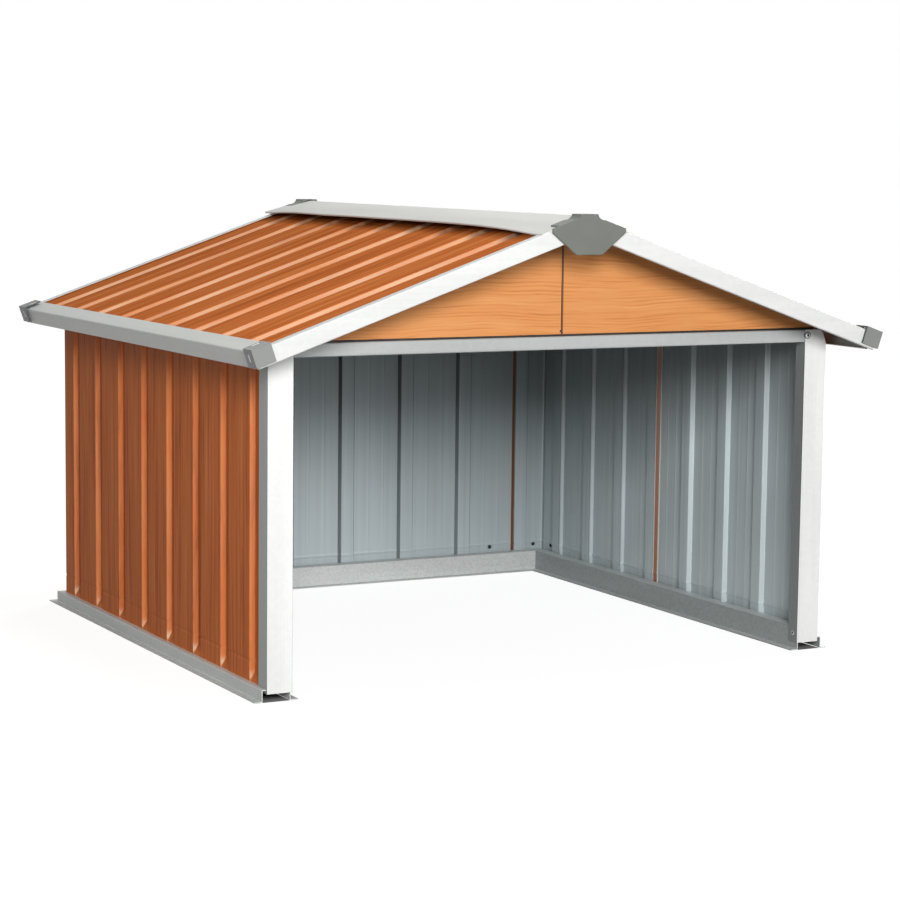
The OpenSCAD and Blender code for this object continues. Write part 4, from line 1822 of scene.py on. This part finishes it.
@dataclass
class Stage:
    """Camera, floor, world and lamps."""

    eye: Point = (-1.7062, -3.3187, 0.7098)
    yaw: float = 27.70
    pitch: float = -6.78
    roll: float = 0.65
    focal_px: float = 2510.1
    image_px: float = 900.0
    sensor: float = 36.0
    world_fill: float = 0.08
    floor_half: float = 40.0
    floor_grey: float = 0.25
    floor_glow: float = 0.88
    floor_near: float = 0.9
    floor_far: float = 4.0
    rail_foot: float = 11.0 * MM
    rail_soft: float = 1.0 * MM
    aim: Point = (0.0, 0.0, 0.3)
    lamps: tuple[Lamp, ...] = (
        Lamp("key", (-1.4, -3.7, 1.65), 1.2, 118.0),
        Lamp("front_fill", (0.9, -3.8, 1.05), 1.4, 32.0),
        Lamp("left_fill", (-2.7, -2.5, 0.5), 1.0, 12.0),
        Lamp("top_box", (0.35, -0.2, 3.8), 1.0, 38.0),
        Lamp("rear_box", (3.4, 2.8, 1.7), 2.0, 110.0),
    )

    def camera(self) -> None:
        """Sets the camera where the photograph was taken from."""
        yaw, pitch, roll = (math.radians(angle) for angle in (self.yaw, self.pitch, self.roll))
        ahead = Vector((math.sin(yaw) * math.cos(pitch), math.cos(yaw) * math.cos(pitch), math.sin(pitch)))
        level = Vector((math.cos(yaw), -math.sin(yaw), 0.0))
        above = level.cross(ahead)
        right = level * math.cos(roll) + above * math.sin(roll)
        above = above * math.cos(roll) - level * math.sin(roll)
        data = bpy.data.cameras.new("camera")
        data.sensor_width = self.sensor
        data.lens = self.focal_px / self.image_px * self.sensor
        data.clip_end = FAR_AWAY
        made = loose_object("camera", data)
        turn = Matrix((right, above, -ahead)).transposed().to_4x4()
        made.matrix_world = Matrix.Translation(self.eye) @ turn
        bpy.context.scene.camera = made

    @staticmethod
    def seen(graph: Graph) -> Socket:
        """1 for rays that show the background itself, from the camera or off gloss and glass.

        Args:
            graph: The graph of the world or the floor.

        Returns:
            The share.
        """
        path = graph.node("ShaderNodeLightPath").socket.node.outputs
        labels = ("Is Camera Ray", "Is Glossy Ray", "Is Transmission Ray")
        camera, glossy, clear = (Socket(graph, path[label]) for label in labels)
        return camera.most(glossy).most(clear)

    def world(self) -> None:
        """White backdrop, and a soft fill for everything else."""
        made = bpy.data.worlds.new("white_studio")
        bpy.context.scene.world = made
        made.use_nodes = True
        graph = Graph(made.node_tree)
        strength = self.world_fill + self.seen(graph) * (1 - self.world_fill)
        white = {"Color": (1.0, 1.0, 1.0, 1.0), "Strength": strength}
        shade = graph.node("ShaderNodeBackground", {}, white)
        graph.node("ShaderNodeOutputWorld", {}, {"Surface": shade}, None)

    def under_rails(self, x: Socket, y: Socket) -> Socket:
        """1 on the floor under the open rails, where no light comes, and 0 elsewhere.

        Args:
            x: Place across the garage.
            y: Place along it.

        Returns:
            The share.
        """
        low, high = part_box("right_base_rail")
        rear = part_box("rear_base_rail")[0]
        foot, soft = self.rail_foot, self.rail_soft
        out = x.math("ABSOLUTE")
        beside = out.smooth(low.x + foot, low.x + foot + soft)
        behind = y.smooth(rear.y + foot, rear.y + foot + soft)
        within = out.smooth(high.x - foot, high.x - foot - soft)
        ends = y.smooth(low.y, low.y + soft) * y.smooth(high.y - foot, high.y - foot - soft)
        return beside.most(behind) * within * ends

    def floor(self) -> None:
        """Pale floor that glows near the garage so that it reads as white, and is white far off."""
        half = self.floor_half
        corners = [(-half, -half, 0), (half, -half, 0), (half, half, 0), (-half, half, 0)]
        mesh = bpy.data.meshes.new("floor")
        mesh.from_pydata(corners, [], [(0, 1, 2, 3)])
        made = loose_object("floor", mesh)
        material = bpy.data.materials.new("pale_floor")
        material.use_nodes = True
        graph = Graph(material.node_tree)
        matt = graph.node("ShaderNodeBsdfDiffuse", {}, {"Color": (*[self.floor_grey] * 3, 1.0)})
        x, y, _ = graph.place()
        far = ((x * x + y * y) ** 0.5).smooth(self.floor_near, self.floor_far)
        glow = self.floor_glow + far * (1 - self.floor_glow)
        shown = self.seen(graph) * glow * (1 - self.under_rails(x, y))
        lit = graph.node("ShaderNodeEmission", {}, {"Strength": shown})
        both = graph.node("ShaderNodeAddShader", {}, {0: matt, 1: lit})
        graph.node("ShaderNodeOutputMaterial", {}, {"Surface": both}, None)
        mesh.materials.append(material)

    def build(self) -> None:
        """Sets the whole stage."""
        bpy.context.scene.view_settings.view_transform = "Standard"
        self.camera()
        self.world()
        self.floor()
        for lamp in self.lamps:
            lamp.hang(Vector(self.aim))


def main() -> None:
    """Builds the garage's looks piece by piece."""
    logging.basicConfig(level=logging.INFO, format="%(message)s")
    Stage().build()
    former = RollFormer()
    walls, roof = Walls(), Roof()
    walls.build(former)
    roof.build(former)
    for strip in METALWORK:
        strip.build()
    RidgeCap().build()
    ShadowBeads().build()
    Hardware(walls, roof).build()


if __name__ == "__main__":
    main()
